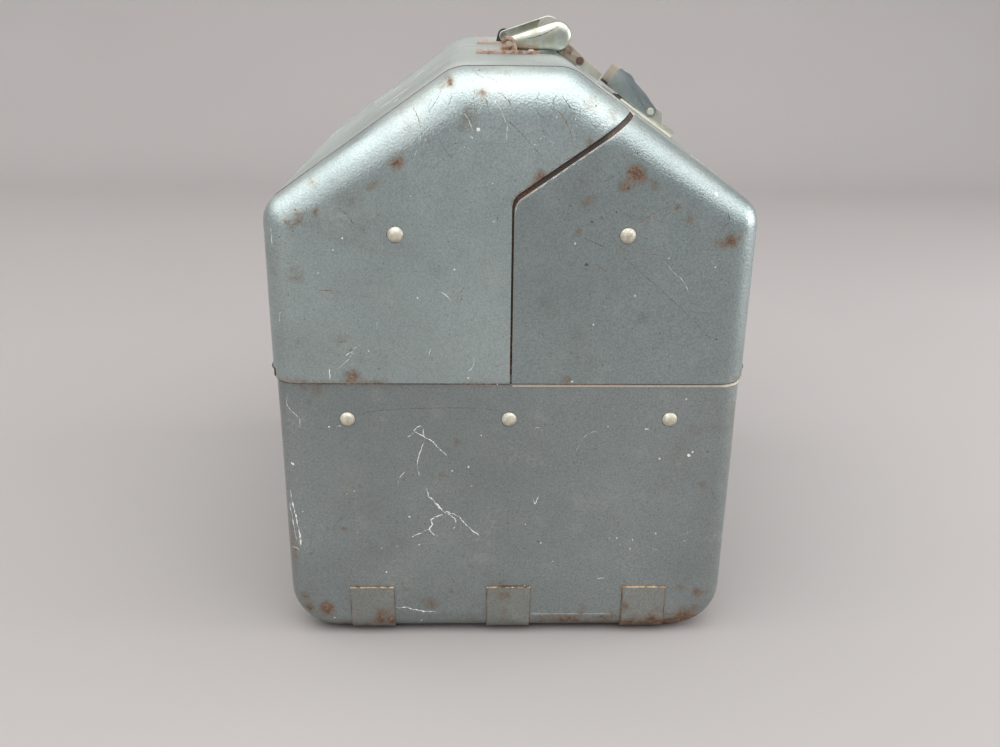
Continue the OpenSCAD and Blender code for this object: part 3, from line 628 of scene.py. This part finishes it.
def lid_stations():
    """Round the cross-section from the right foot to the left: centre x, centre z, radius, normal angle."""
    xs, rs = LID_HALF_W - CORNER_R, CORNER_R
    zs = SHOULDER_Z - CORNER_R * tan(pi / 4 - SLOPE / 2)
    xb, zb, rb = FLAT_HALF - BROW_R * tan(SLOPE / 2), TOP_Z - BROW_R, BROW_R
    walls, arc, ramp = 12, 9, 14
    half = [(xs, SEAM_Z + (zs - SEAM_Z) * k / walls, rs, 0.0) for k in range(walls)]
    half += [(xs, zs, rs, TILT * k / arc) for k in range(arc)]
    for k in range(ramp):
        t = k / ramp
        half.append((xs + (xb - xs) * t, zs + (zb - zs) * t, rs + (rb - rs) * t, TILT))
    half += [(xb, zb, rb, TILT + SLOPE * k / arc) for k in range(arc)]
    half += [(xb * (1 - k / 3), zb, rb, pi / 2) for k in range(3)]
    return half + [(0.0, zb, rb, pi / 2)] + [(-x, z, r, pi - a) for x, z, r, a in reversed(half)]


def tub_stations():
    """Round the tub's section from the right top edge, under the floor, to the left top edge."""
    arc = 10
    xc, zc = TUB_HIGH.x - TUB_CORNER_R, TUB_LOW.z + TUB_CORNER_R
    ring = TUB_CORNER_R - TUB_BEND_R
    wall = (SEAM_Z, *reversed(steps(zc, SEAM_Z, GRID)))
    half = [(TUB_HIGH.x - TUB_BEND_R, z, TUB_BEND_R, 0.0) for z in wall]
    for k in range(arc + 1):
        a = -pi / 2 * k / arc
        half.append((xc + ring * cos(a), zc + ring * sin(a), TUB_BEND_R, a))
    low = TUB_LOW.z + TUB_BEND_R
    half += [(x, low, TUB_BEND_R, -pi / 2) for x in reversed(steps(0, xc, 4 * GRID))]
    half_back = [(-x, z, r, -pi - a) for x, z, r, a in reversed(half)]
    return half + [(0.0, low, TUB_BEND_R, -pi / 2)] + half_back


def drawn_skin(stations, half_l, depth=0.0, band=None):
    """A drawn pan's outer surface pulled in by depth; band keeps only y0 to y1 of the sides.

    Each row is a turn round the front (-1) or rear (1) bend, or a y between them (0)."""
    turns = 10
    widest = max(r for x, z, r, a in stations)
    if band is None:
        rows = [(-1, pi / 2 * k / turns) for k in range(turns + 1)]
        rows += [(0, y) for y in steps(-half_l + widest, half_l - widest, 2 * GRID)]
        rows += [(1, pi / 2 * (1 - k / turns)) for k in range(turns + 1)]
    else:
        rows = [(0, y) for y in (band[0], *steps(*band, 4 * MM), band[1])]
    bm = bmesh.new()
    grid = []
    for end, value in rows:
        line = []
        for x, z, r, a in stations:
            reach = (r - depth) * (sin(value) if end else 1.0)
            y = end * (half_l - r + (r - depth) * cos(value)) if end else value
            line.append(bm.verts.new((x + reach * cos(a), y, z + reach * sin(a))))
        grid.append(line)
    for low, high in zip(grid, grid[1:]):
        for a, b, c, d in zip(low, low[1:], high[1:], high):
            bm.faces.new((a, b, c, d))
    if band is None:
        bm.faces.new(reversed(grid[0]))
        bm.faces.new(grid[-1])
    bmesh.ops.remove_doubles(bm, verts=bm.verts[:], dist=1e-6)
    bmesh.ops.recalc_face_normals(bm, faces=bm.faces[:])
    far = max(bm.faces, key=lambda f: abs(f.calc_center_median().x))
    if far.normal.x * far.calc_center_median().x < 0:
        bmesh.ops.reverse_faces(bm, faces=bm.faces[:])
    return bm


def on_end(f):
    return abs(f.normal.y) > 0.999


def parting(upright, slant):
    """The parting line in x, z, moved to the right by the given gaps, as in the CAD model."""
    x = PARTING_X + upright
    corner = PARTING_Z + (upright * sin(SLOPE) - slant) / cos(SLOPE)
    cut = PARTING_R * tan(TILT / 2)
    line = [(x, PARTING_FOOT_Z)]
    for k in range(9):
        a = TILT * k / 8
        line.append((x + PARTING_R * (1 - cos(a)), corner - cut + PARTING_R * sin(a)))
    return line + [(x + PARTING_REACH * cos(SLOPE), corner + PARTING_REACH * sin(SLOPE))]


LEFT_EDGE = parting(-UPRIGHT_GAP / 2, -SLOPE_GAP / 2)
RIGHT_EDGE = parting(UPRIGHT_GAP / 2, SLOPE_GAP / 2)
LEFT_REGION = LEFT_EDGE + [(-1, 1), (-1, PARTING_FOOT_Z)]
RIGHT_REGION = RIGHT_EDGE + [(1, 1), (1, PARTING_FOOT_Z)]


def cut_parting(bm):
    """Cuts the skin along both lids' edges, each stretch only where it is."""
    room = 2 * MM
    for line in (LEFT_EDGE, RIGHT_EDGE):
        for (x0, z0), (x1, z1) in zip(line, line[1:]):
            low = (min(x0, x1) - room, min(z0, z1) - room)
            high = (max(x0, x1) + room, max(z0, z1) + room)

            def touches(f):
                xs = [v.co.x for v in f.verts]
                zs = [v.co.z for v in f.verts]
                return max(xs) > low[0] and min(xs) < high[0] and max(zs) > low[1] and min(zs) < high[1]

            across = Vector((z1 - z0, 0, x0 - x1)).normalized()
            spread(bm, [f for f in bm.faces if touches(f)], Vector((x0, 0, z0)), across)


def keep_faces(source, wanted):
    bm = source.copy()
    bmesh.ops.delete(bm, geom=[f for f in bm.faces if not wanted(f.calc_center_median())], context="FACES")
    return bm


def thicken(obj, thickness, back=2):
    """Gives a sheet its thickness inwards; back is the inner side's material offset."""
    m = obj.modifiers.new("sheet", "SOLIDIFY")
    m.thickness = thickness
    m.offset = -1
    m.use_even_offset = True
    m.material_offset_rim = 1
    m.material_offset = back


def dress(obj, rust, pale):
    paint(obj, "rust", rust)
    paint(obj, "pale", pale)


def join(main, *others):
    with bpy.context.temp_override(active_object=main, object=main, selected_editable_objects=[main, *others],
                                   selected_objects=[main, *others]):
        bpy.ops.object.join()
    return main


PAINTED = []


def enamelled(obj, rust, pale, body, slot, node):
    """Paints and places a pressing, and keeps its surface for the marks."""
    dress(obj, rust, pale)
    finish_mesh(obj)
    place(obj, body, slot, node)
    PAINTED.append((body, surface_of(obj)))


def build_lids():
    """The six pressings of the lids, cut out of one drawn skin, with laps under the end seams."""
    whole = drawn_skin(lid_stations(), LID_HALF_L)
    cut_everywhere(whole, 0, steps(-LID_HALF_W, LID_HALF_W, GRID), on_end)
    cut_everywhere(whole, 2, steps(SEAM_Z, TOP_Z, GRID), on_end)
    for sign in (-1, 1):
        cut_everywhere(whole, 1, (sign * (CAP_SEAM_Y - SEAM_GAP), sign * (CAP_SEAM_Y + SEAM_GAP)),
                       lambda f: abs(f.calc_center_median().y) < FOOT_Y)
        cut_everywhere(whole, 1, [sign * y for y in (FOOT_Y, RELIEF_Y, *ARM_SLOT)],
                       lambda f: f.calc_center_median().z < WALL_FOOT_Z + GRID * 1.5)
    cut_everywhere(whole, 2, (WALL_FOOT_Z,), lambda f: not on_end(f))
    cut_everywhere(whole, 2, (SEAM_Z + SEAM_LINE,))
    whole.normal_update()
    for v in whole.verts:
        v.co += panel_wave(v.co, v.normal)
    whole.normal_update()
    for v in whole.verts:
        past = abs(v.co.y) - CAP_SEAM_Y
        if 0 < past < CAP_STEP_RUN:
            v.co -= v.normal * CAP_STEP * (1 - past / CAP_STEP_RUN)
    whole.normal_update()
    cut_parting(whole)
    laps = {}
    for sign in (-1, 1):
        band = sorted((sign * (CAP_SEAM_Y + LAP_OVER), sign * (CAP_SEAM_Y - LAP_UNDER)))
        lap = drawn_skin(lid_stations(), LID_HALF_L, LID_T + 0.1 * MM, band)
        cut_everywhere(lap, 2, (LAP_FOOT_Z,))
        cut_parting(lap)
        laps[sign] = lap

    def foot(c):
        """The side walls stop short over the hinges and where the lifting arms swing through."""
        if c.z > WALL_FOOT_Z or abs(c.y) > FOOT_Y:
            return True
        return c.z > SEAM_Z + SEAM_LINE and abs(c.y) > RELIEF_Y and not ARM_SLOT[0] < abs(c.y) < ARM_SLOT[1]

    for side, region in (("left", LEFT_REGION), ("right", RIGHT_REGION)):
        for part, test in (("roof", lambda c: abs(c.y) < CAP_SEAM_Y - SEAM_GAP),
                           ("front_cap", lambda c: c.y < -CAP_SEAM_Y - SEAM_GAP),
                           ("rear_cap", lambda c: c.y > CAP_SEAM_Y + SEAM_GAP)):
            node = f"{side}_{part}"
            bm = keep_faces(whole, lambda c: inside(region, c.x, c.z) and test(c) and foot(c))
            # The right lid's sheet edges are pale, worn paint with a painted highlight; the left lid's are
            # rusty.
            rim = M["edge"] if side == "left" else M["ledge"]
            obj = new_object(node + "_pressing", bm, (M["lid_" + side], rim, M["inside"], M["seam_shade"]))
            # The lowest strip of each lid is painted near black, a painted shadow along the seam.
            tint(obj, 3, lambda c: c.z < SEAM_Z + SEAM_LINE)
            thicken(obj, LID_T)
            bevel(obj, 0.28 * MM)
            bake_modifiers(obj)
            if part != "roof":
                sign = -1 if part == "front_cap" else 1
                bm = keep_faces(laps[sign], lambda c: inside(region, c.x, c.z) and c.z > LAP_FOOT_Z)
                lap = new_object(node + "_lap", bm, (M["inside"], M["edge"], M["inside"]))
                thicken(lap, LID_T, 0)
                bake_modifiers(lap)
                join(obj, lap)
            enamelled(obj, lid_rust, lid_pale, side + "_lid", "enamel_lids", node)
    whole.free()
    for lap in laps.values():
        lap.free()


def build_tub():
    """The drawn tub, open at the top, thickened inwards, with the two rims the lids close over."""
    half_l = TUB_HIGH.y
    bm = drawn_skin(tub_stations(), half_l)
    cut_everywhere(bm, 0, steps(-TUB_HIGH.x, TUB_HIGH.x, GRID), on_end)
    cut_everywhere(bm, 2, steps(TUB_LOW.z, SEAM_Z, GRID), on_end)
    bm.normal_update()
    for v in bm.verts:
        if v.co.z > TUB_LOW.z + TUB_BEND_R:
            v.co += panel_wave(v.co, v.normal, min(1.0, (SEAM_Z - v.co.z) / (20 * MM)))
    cut_everywhere(bm, 2, (SEAM_Z - LEDGE,))
    obj = new_object("tub_pressing", bm, (M["tub"], M["edge"], M["inside"], M["ledge"]))
    # A pale band at the top of the tub on the right: the ledge under the lid, worn paint with a painted
    # highlight.
    tint(obj, 3, lambda c: c.z > SEAM_Z - LEDGE and c.x > PARTING_X)
    thicken(obj, TUB_T)
    bevel(obj, 0.3 * MM)
    bake_modifiers(obj)
    rims = bmesh.new()
    height = TUB_HIGH.z - RIM_FOOT_Z
    for sign in (-1, 1):
        y = sign * (half_l - TUB_T - RIM_T / 2)
        made = bmesh.ops.create_cube(rims, size=1)["verts"]
        bmesh.ops.scale(rims, vec=(2 * RIM_HALF, RIM_T, height), verts=made)
        bmesh.ops.translate(rims, vec=(0, y, TUB_HIGH.z - height / 2), verts=made)
    rim = new_object("tub_rims", rims, (M["inside"], M["edge"], M["inside"]))
    bevel(rim, 0.4 * MM)
    bake_modifiers(rim)
    join(obj, rim)
    enamelled(obj, tub_rust, tub_pale, "case", "enamel_tub", "base_tub")


# ---- refined CAD pieces

def nowhere(p, n):
    return 0.0


def refined(node, body, slot, material, width, rust=nowhere, angle=30, cells=None):
    """A CAD piece with its edges broken, welded and shaded smooth; cells adds points for the rust."""
    bm = bmesh.new()
    bm.from_mesh(frame["nodes"][node].data)
    bmesh.ops.remove_doubles(bm, verts=bm.verts[:], dist=2e-6)
    bmesh.ops.dissolve_limit(bm, angle_limit=radians(0.5), verts=bm.verts[:], edges=bm.edges[:])
    obj = new_object(node + "_piece", bm, (material,))
    for face in obj.data.polygons:
        face.material_index = 0
    bevel(obj, width * MM, angle)
    bake_modifiers(obj)
    if cells:
        grid = bmesh.new()
        grid.from_mesh(obj.data)
        low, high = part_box(node)
        for axis in (0, 2):
            cut_everywhere(grid, axis, steps(low[axis], high[axis], cells * MM))
        grid.to_mesh(obj.data)
        grid.free()
    dress(obj, rust, nowhere)
    finish_mesh(obj)
    return place(obj, body, slot, node)


def skid_rust(p, n):
    """Rust along the cut edges of a skid, and in patches near the floor."""
    box = next(b for b in map(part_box, SKIDS) if b[0].x - MM < p.x < b[1].x + MM)
    rim = min(p.x - box[0].x, box[1].x - p.x, box[1].z - p.z)
    low = max(0.0, min(1.0, (30 * MM - p.z) / (22 * MM)))
    patch = 0.10 + 0.34 * low + 0.7 * noise(p * 64 + Vector((2, 0, 5))) + 0.5 * noise(p * 150)
    return max(0.95 * exp(-(rim / (0.8 * MM)) ** 2) * (0.8 + 0.5 * noise(p * 90)), patch)


def edge_rust(p, n):
    return 0.4 + 0.7 * noise(p * 60)


def down_slope(c):
    """Distance down the right slope from the edge of the flat top."""
    return (c - Vector((FLAT_HALF, 0, TOP_Z))).dot(DOWN)


def build_refined():
    """The CAD pieces kept as they are but for broken edges; widths are in mm."""
    for node in SKIDS:
        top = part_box(node)[1].z
        skid = refined(node, "case", "skid_steel", M["skid"], 0.3, skid_rust, cells=SKID_CELL)
        # Only the upward top edge gets the tan: a painted highlight on the rusty cut edge.
        retouch(skid, "tan", lambda c: c.z > top - SKID_EDGE)
    leaf = ("hinge_steel", M["hinge"], 0.15, edge_rust)
    sheet = ("inner_enamel", M["inside"], 0.3)
    thin_sheet = ("inner_enamel", M["inside"], 0.25)
    rivets = ("rivet_aluminium", M["rivet"], 0.2)
    refined("centre_partition", "case", *sheet)
    refined("partition_flanges", "case", *thin_sheet)
    refined("partition_rivets", "case", *rivets)
    refined("arm_pivot_rivets", "case", *rivets)
    for side in ("left", "right"):
        lid, arms, tray = side + "_lid", side + "_arms", side + "_tray_unit"
        refined("base_hinge_leaf_" + side, "case", *leaf)
        refined("hinge_wire_" + side, "case", "zinc_steel", M["zinc"], 0.2)
        refined(side + "_hinge_leaf", lid, *leaf)
        refined(side + "_tray_rivets", lid, *rivets)
        for end in ("front", "rear"):
            refined(f"{side}_arm_{end}", arms, "arm_steel", M["arm"], 0.3)
        refined(side + "_arm_pins", arms, *rivets)
        refined(side + "_tray", tray, *sheet)
        refined(side + "_tray_dividers", tray, *thin_sheet)
    # The lip is darkened as painted shade where it lies in the gap.
    refined("right_lip", "right_lid", "rusty_steel", M["lip"], 0.15, edge_rust, LIP_ANGLE)
    refined("handle_strap_front", "left_lid", "rusty_steel", M["strap"], 0.3, edge_rust)
    rear = refined("handle_strap_rear", "left_lid", "rusty_steel", M["strap"], 0.3, edge_rust)
    # The rear strap's ear above the roof is painted near black as shade.
    retouch(rear, "dark", lambda c: c.z > TOP_Z + EAR_FOOT)
    refined("strap_rivets", "left_lid", "rusty_steel", M["strap"], 0.2)
    refined("strike_bracket", "left_lid", "rusty_steel", M["strike"], 0.25, edge_rust)
    for node, body, material, width in (
            ("handle_pins", "left_lid", "strap", 0.2), ("strike_pin", "left_lid", "eye", 0.2),
            ("hasp_tongue", "tongue", "tongue", 0.25), ("latch_base", "right_lid", "plate", 0.25),
            ("latch_rivets", "right_lid", "zinc", 0.2), ("latch_pivot_pin", "right_lid", "zinc", 0.2),
            ("latch_lever", "lever", "lever", 0.25), ("claw_pin", "lever", "rivet", 0.2)):
        refined(node, body, "zinc_steel", M[material], width)
    claw = refined("latch_claw", "claw", "zinc_steel", M["latch"], 0.3, edge_rust)
    retouch(claw, "hood", lambda c: down_slope(c) < HOOD_END_U)


# ---- handle

HANDLE_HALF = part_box("handle")[1].y
PIVOT = Vector((0, 0, next(j["pos_m"][2] for j in frame["joints"] if j["name"] == "handle_swing")))
GRIP_AT = (28.3 * MM, 4.4 * MM)
GRIP_R = 8.15 * MM
ROOT_R = 3.4 * MM
NOSE_DOME = 2.0
GRIP_TUBE_R = 7.75 * MM
GRIP_SWELL = 0.22 * MM
GRIP_SEAM = 0.45 * MM
GRIP_END = 2.2 * MM
# One end plate from the outside in: depth and how far its outline is pulled in, in mm
PLATE = ((0.0, 3.2), (0.04, 2.9), (0.16, 2.4), (0.42, 1.8), (0.85, 1.2), (1.45, 0.68), (2.2, 0.30),
         (3.0, 0.08), (3.8, 0.0), (5.9, 0.0), (6.1, 0.2), (6.1, 0.5), (5.8, 0.65), (2.6, 0.75))
# The crease on a plate: x and z in mm from the pivot
CREASE = ((10.6, 2.6), (15, 3.7), (20.5, 5.5), (25.5, 7.9), (28.5, 9.7), (30.4, 11.2))


def drop_outline(inset):
    """Outline round the root and the grip, pulled in by inset, relative to the pivot."""
    nose, root = 40, 20
    r0, r1 = ROOT_R - inset, GRIP_R - inset * NOSE_DOME
    d = hypot(*GRIP_AT)
    a = atan2(GRIP_AT[1], GRIP_AT[0])
    b = acos((r0 - r1) / d)
    ring = []
    for k in range(nose + 1):
        t = a - b + 2 * b * k / nose
        ring.append((GRIP_AT[0] + r1 * cos(t), GRIP_AT[1] + r1 * sin(t)))
    for k in range(root + 1):
        t = a + b + (2 * pi - 2 * b) * k / root
        ring.append((r0 * cos(t), r0 * sin(t)))
    return ring


def grip_outline(radius):
    """Outline of the rolled grip, its seam turned to the inside."""
    turns, seam_angle = 40, 0.07
    ring = []
    for k in range(turns):
        a = 2 * pi * k / turns
        r = radius - GRIP_SEAM * exp(-((a - pi) / seam_angle) ** 2)
        ring.append((GRIP_AT[0] + r * cos(a), GRIP_AT[1] + r * sin(a)))
    return ring


def loft(bm, rows, outline):
    """Skins outline(size) at each (y, size) and closes both ends."""
    rings = []
    for y, size in rows:
        rings.append([bm.verts.new((x + PIVOT.x, y, z + PIVOT.z)) for x, z in outline(size)])
    for low, high in zip(rings, rings[1:]):
        for k in range(len(low)):
            m = (k + 1) % len(low)
            bm.faces.new((low[k], low[m], high[m], high[k]))
    bm.faces.new(reversed(rings[0]))
    bm.faces.new(rings[-1])


def build_handle():
    bm = bmesh.new()
    for sign in (-1, 1):
        loft(bm, [(sign * (HANDLE_HALF - depth * MM), inset * MM) for depth, inset in PLATE], drop_outline)
    spans = 24
    along = [k / spans for k in range(spans + 1)]
    loft(bm, [((HANDLE_HALF - GRIP_END) * (2 * t - 1), GRIP_TUBE_R + GRIP_SWELL * sin(pi * t))
              for t in along], grip_outline)
    bmesh.ops.recalc_face_normals(bm, faces=bm.faces[:])
    obj = new_object("handle_pressing", bm, (M["nickel"],))
    dress(obj, lambda p, n: 0.5 * max(0.0, noise(p * 70)), nowhere)
    finish_mesh(obj, 60)
    place(obj, "carry_handle", "handle_nickel", "handle")
    # The crease where each end plate folds over the grip
    crease = bmesh.new()
    tree, draw = surface_of(obj), random.Random(3)
    for sign in (-1, 1):
        hits = []
        for x, z in curve_through(CREASE):
            eye = PIVOT + Vector((x * MM, sign * 0.2, z * MM))
            hits.append(tree.ray_cast(eye, Vector((0, -sign, 0)))[:2])
        ribbon(crease, hits, 0.45 * MM, 0, draw, 0.0)
    bmesh.ops.recalc_face_normals(crease, faces=crease.faces[:])
    place(new_object("handle_crease", crease, (M["dark_mark"],)), "carry_handle", "handle_nickel")


# ---- scratches and chips

PROUD = 0.06 * MM
SUNK = 0.05 * MM
RIVET_RING_R = 4.3
CURVE_GAP = 1.2
KIND_SHARES = ("pale", "pale", "dark", "rust")


def drop(origin, ahead):
    """The first painted surface from origin along ahead: body, point and normal."""
    hits = []
    for body, tree in PAINTED:
        at, normal, _, distance = tree.ray_cast(origin, ahead)
        if at is not None:
            hits.append((distance, body, at, normal))
    return min(hits, key=lambda h: h[0])[1:] if hits else None


def curve_through(points):
    """Points along a smooth curve through the given 2-D ones, about CURVE_GAP mm apart."""
    ends = [points[0], *points, points[-1]]
    line = []
    for a, b, c, d in zip(ends, ends[1:], ends[2:], ends[3:]):
        count = max(2, round(dist(b, c) / CURVE_GAP))
        for k in range(count):
            t = k / count
            line.append(tuple(0.5 * (2 * q + (r - p) * t + (2 * p - 5 * q + 4 * r - s) * t ** 2
                                     + (3 * q - p - 3 * r + s) * t ** 3) for p, q, r, s in zip(a, b, c, d)))
    return line + [points[-1]]


def ribbon(bm, hits, width, material, draw, broken=0.5):
    """A closed sliver along the hits, just proud of the paint and thin at both ends."""
    last = len(hits) - 1
    rows = []
    for k, (at, normal) in enumerate(hits):
        along = hits[min(k + 1, last)][0] - hits[max(k - 1, 0)][0]
        side = along.cross(normal).normalized()
        half = 0.72 * width * (0.35 + 0.65 * sqrt(abs(sin(pi * k / last))))
        half *= draw.uniform(0.10, 0.35) if draw.random() < broken else draw.uniform(0.6, 1.35)
        at = at + side * width * draw.uniform(-0.35, 0.35)
        rows.append([bm.verts.new(at + side * half - normal * SUNK), bm.verts.new(at + normal * PROUD),
                     bm.verts.new(at - side * half - normal * SUNK)])
    faces = [bm.faces.new(rows[0]), bm.faces.new(reversed(rows[-1]))]
    for low, high in zip(rows, rows[1:]):
        faces += [bm.faces.new((low[k], low[(k + 1) % 3], high[(k + 1) % 3], high[k])) for k in range(3)]
    for face in faces:
        face.material_index = material


def flake(bm, at, normal, radius, material, draw):
    """A chip's broken outline as a closed, very low cap."""
    side = normal.orthogonal().normalized()
    across = normal.cross(side)
    ring = []
    for k in range(8):
        a = pi * k / 4
        reach = radius * draw.uniform(0.7, 1.5)
        ring.append(bm.verts.new(at + (side * cos(a) + across * sin(a)) * reach - normal * SUNK))
    top = bm.verts.new(at + normal * PROUD)
    under = bm.verts.new(at - normal * 2 * SUNK)
    for k in range(8):
        m = (k + 1) % 8
        bm.faces.new((ring[k], ring[m], top)).material_index = material
        bm.faces.new((ring[m], ring[k], under)).material_index = material


def view(axis, side):
    """Where a mark at a, b in mm is looked for from, and the way to look, for one side of the case."""
    far = 0.8 if axis == 2 else 0.4
    ahead = Vector((0, 0, 0))
    ahead[axis] = -side

    def origin_at(a, b):
        spot = [a * MM, b * MM]
        spot.insert(axis, side * far)
        return Vector(spot)

    return origin_at, ahead


def build_marks():
    """Scratches and chips: most of the front's by list, the others scattered at random."""
    draw = random.Random(11)
    meshes = {}

    def mesh_of(body):
        return meshes.setdefault(body, bmesh.new())

    def scratch(kind, width, points, origin_at, ahead):
        hits = [drop(origin_at(*point), ahead) for point in curve_through(points)]
        for body, run in groupby(hits, lambda hit: hit[0] if hit else None):
            ends = [hit[1:] for hit in run if hit]
            if len(ends) > 1:
                ribbon(mesh_of(body), ends, width * MM, MARKS[kind], draw)

    def chip(kind, radius, point, origin_at, ahead):
        hit = drop(origin_at(*point), ahead)
        if hit:
            flake(mesh_of(hit[0]), hit[1], hit[2], radius * MM, MARKS[kind], draw)

    def random_marks(side, across, upward, lines, chips):
        for _ in range(lines):
            at = (draw.uniform(*across), draw.uniform(*upward))
            turn = draw.uniform(0, 2 * pi)
            points = [at]
            for _ in range(draw.randint(1, 3)):
                step = draw.uniform(3, 9)
                points.append((points[-1][0] + step * cos(turn), points[-1][1] + step * sin(turn)))
                turn += draw.uniform(-0.6, 0.6)
            scratch(draw.choice(KIND_SHARES), draw.uniform(0.16, 0.36), points, *side)
        for _ in range(chips):
            at = (draw.uniform(*across), draw.uniform(*upward))
            chip(draw.choice(KIND_SHARES), draw.uniform(0.2, 0.55), at, *side)

    front, rear, left, right, above = view(1, -1), view(1, 1), view(0, -1), view(0, 1), view(2, 1)
    for kind, group in SCRATCHES:
        for width, *points in group:
            scratch(kind, width, points, *front)
    for kind, group in CHIPS.items():
        for x, z, radius in group:
            chip(kind, radius, (x, z), *front)
    # Along the parting line, on both ends: a pale line on the right lid's edge, worn paint with a painted
    # highlight where the edge catches light, and a rusty line on the left lid's edge
    for end in (front, rear):
        for kind, width, upright, slant in (("pale", 0.35, 0.5, 0.45), ("rust", 0.6, -0.4, -0.5)):
            line = parting(copysign(UPRIGHT_GAP / 2, upright) + upright * MM,
                           copysign(SLOPE_GAP / 2, slant) + slant * MM)
            bends = [(x / MM, z / MM) for x, z in line[1:-1]]
            (x0, z0), (x1, z1) = bends[-1], (line[-1][0] / MM, line[-1][1] / MM)
            bends += [(x0 + (x1 - x0) * k / 8, z0 + (z1 - z0) * k / 8) for k in (1, 2, 3, 4)]
            scratch(kind, width, bends, *end)
    # Dark rings round the rivet heads: grime with painted shade at the foot of each head
    for end in (front, rear):
        for x, z in TUB_RIVETS + LID_RIVETS:
            turns = [pi * k / 8 for k in range(17)]
            ring = [(x + RIVET_RING_R * cos(a), z + RIVET_RING_R * sin(a)) for a in turns]
            scratch("dark", 0.38, ring, *end)
    random_marks(rear, (-118, 118), (20, 300), 34, 60)
    random_marks(left, (-145, 145), (20, 300), 30, 60)
    random_marks(right, (-145, 145), (20, 300), 30, 60)
    random_marks(above, (-118, 118), (-140, 140), 34, 50)
    random_marks(front, (-118, 118), (15, 300), 12, 60)
    random_marks(front, (-56, 46), (282, 316), 26, 24)
    for body, bm in meshes.items():
        bmesh.ops.recalc_face_normals(bm, faces=bm.faces[:])
        obj = new_object(f"marks_{body}", bm, (M["pale_mark"], M["dark_mark"], M["rust_mark"]))
        place(obj, body, "enamel_tub" if body == "case" else "enamel_lids")


# ---- stage

def build_stage():
    s = Shader("studio_floor")
    s.set("Base Color", s.mix(s.noise(3, 3, seed=91.0), (0.335, 0.305, 0.292), (0.361, 0.331, 0.317)))
    s.set("Roughness", 0.85)
    bm = bmesh.new()
    wide, near, far, bend, tall = 6.0, -3.0, 1.2, 0.5, 3.5
    profile = [(near, 0.0), (far, 0.0)]
    turns = [pi / 2 * k / 16 for k in range(1, 17)]
    profile += [(far + bend * sin(a), bend * (1 - cos(a))) for a in turns]
    profile.append((far + bend, tall))
    left = [bm.verts.new((-wide, y, z)) for y, z in profile]
    right = [bm.verts.new((wide, y, z)) for y, z in profile]
    for k in range(len(profile) - 1):
        bm.faces.new((left[k], right[k], right[k + 1], left[k + 1]))
    floor = new_object("studio_sweep", bm, (s.material,))
    finish_mesh(floor)

    world = bpy.data.worlds.new("studio")
    world.use_nodes = True
    background = world.node_tree.nodes["Background"]
    background.inputs["Color"].default_value = (0.86, 0.92, 1.0, 1)
    background.inputs["Strength"].default_value = 0.34
    bpy.context.scene.world = world

    def softbox(name, at, aim, size, power, colour):
        light = bpy.data.lights.new(name, "AREA")
        light.shape = "RECTANGLE"
        light.size, light.size_y = size
        light.energy = power
        light.color = colour
        obj = add_object(name, light)
        obj.location = at
        obj.rotation_mode = "QUATERNION"
        obj.rotation_quaternion = (Vector(aim) - Vector(at)).to_track_quat("-Z", "Y")

    softbox("sky_box", (-0.1, -0.45, 1.9), (0, 0, 0.2), (5.6, 2.4), 114, (0.97, 0.99, 1.0))
    softbox("front_fill", (-1.3, -2.0, 1.0), (0, 0, 0.15), (1.6, 1.2), 9, (1.0, 0.99, 0.97))
    softbox("right_rim", (1.6, 0.0, 0.55), (0, 0, 0.2), (0.9, 0.9), 16, (0.94, 0.97, 1.0))


def build_camera():
    """The viewing angle: nearly level with the roof, looking down at the end face."""
    pitch, yaw, roll = radians(21.29), radians(1.39), radians(0.63)
    at = Vector((-17.32 * MM, -LID_HALF_L - 496.91 * MM, 358.22 * MM))
    data = bpy.data.cameras.new("camera")
    data.lens = 36.34
    data.sensor_width = 36
    data.clip_start, data.clip_end = 0.05, 50
    camera = add_object("camera", data)
    camera.matrix_world = Matrix.Translation(at)
    for angle, axis in ((-yaw, "Z"), (pi / 2 - pitch, "X"), (roll, "Z")):
        camera.matrix_world = camera.matrix_world @ Matrix.Rotation(angle, 4, axis)
    bpy.context.scene.camera = camera


build_camera()
build_stage()
build_lids()
build_tub()
build_refined()
build_handle()
build_marks()
bpy.context.scene.view_settings.view_transform = "Standard"
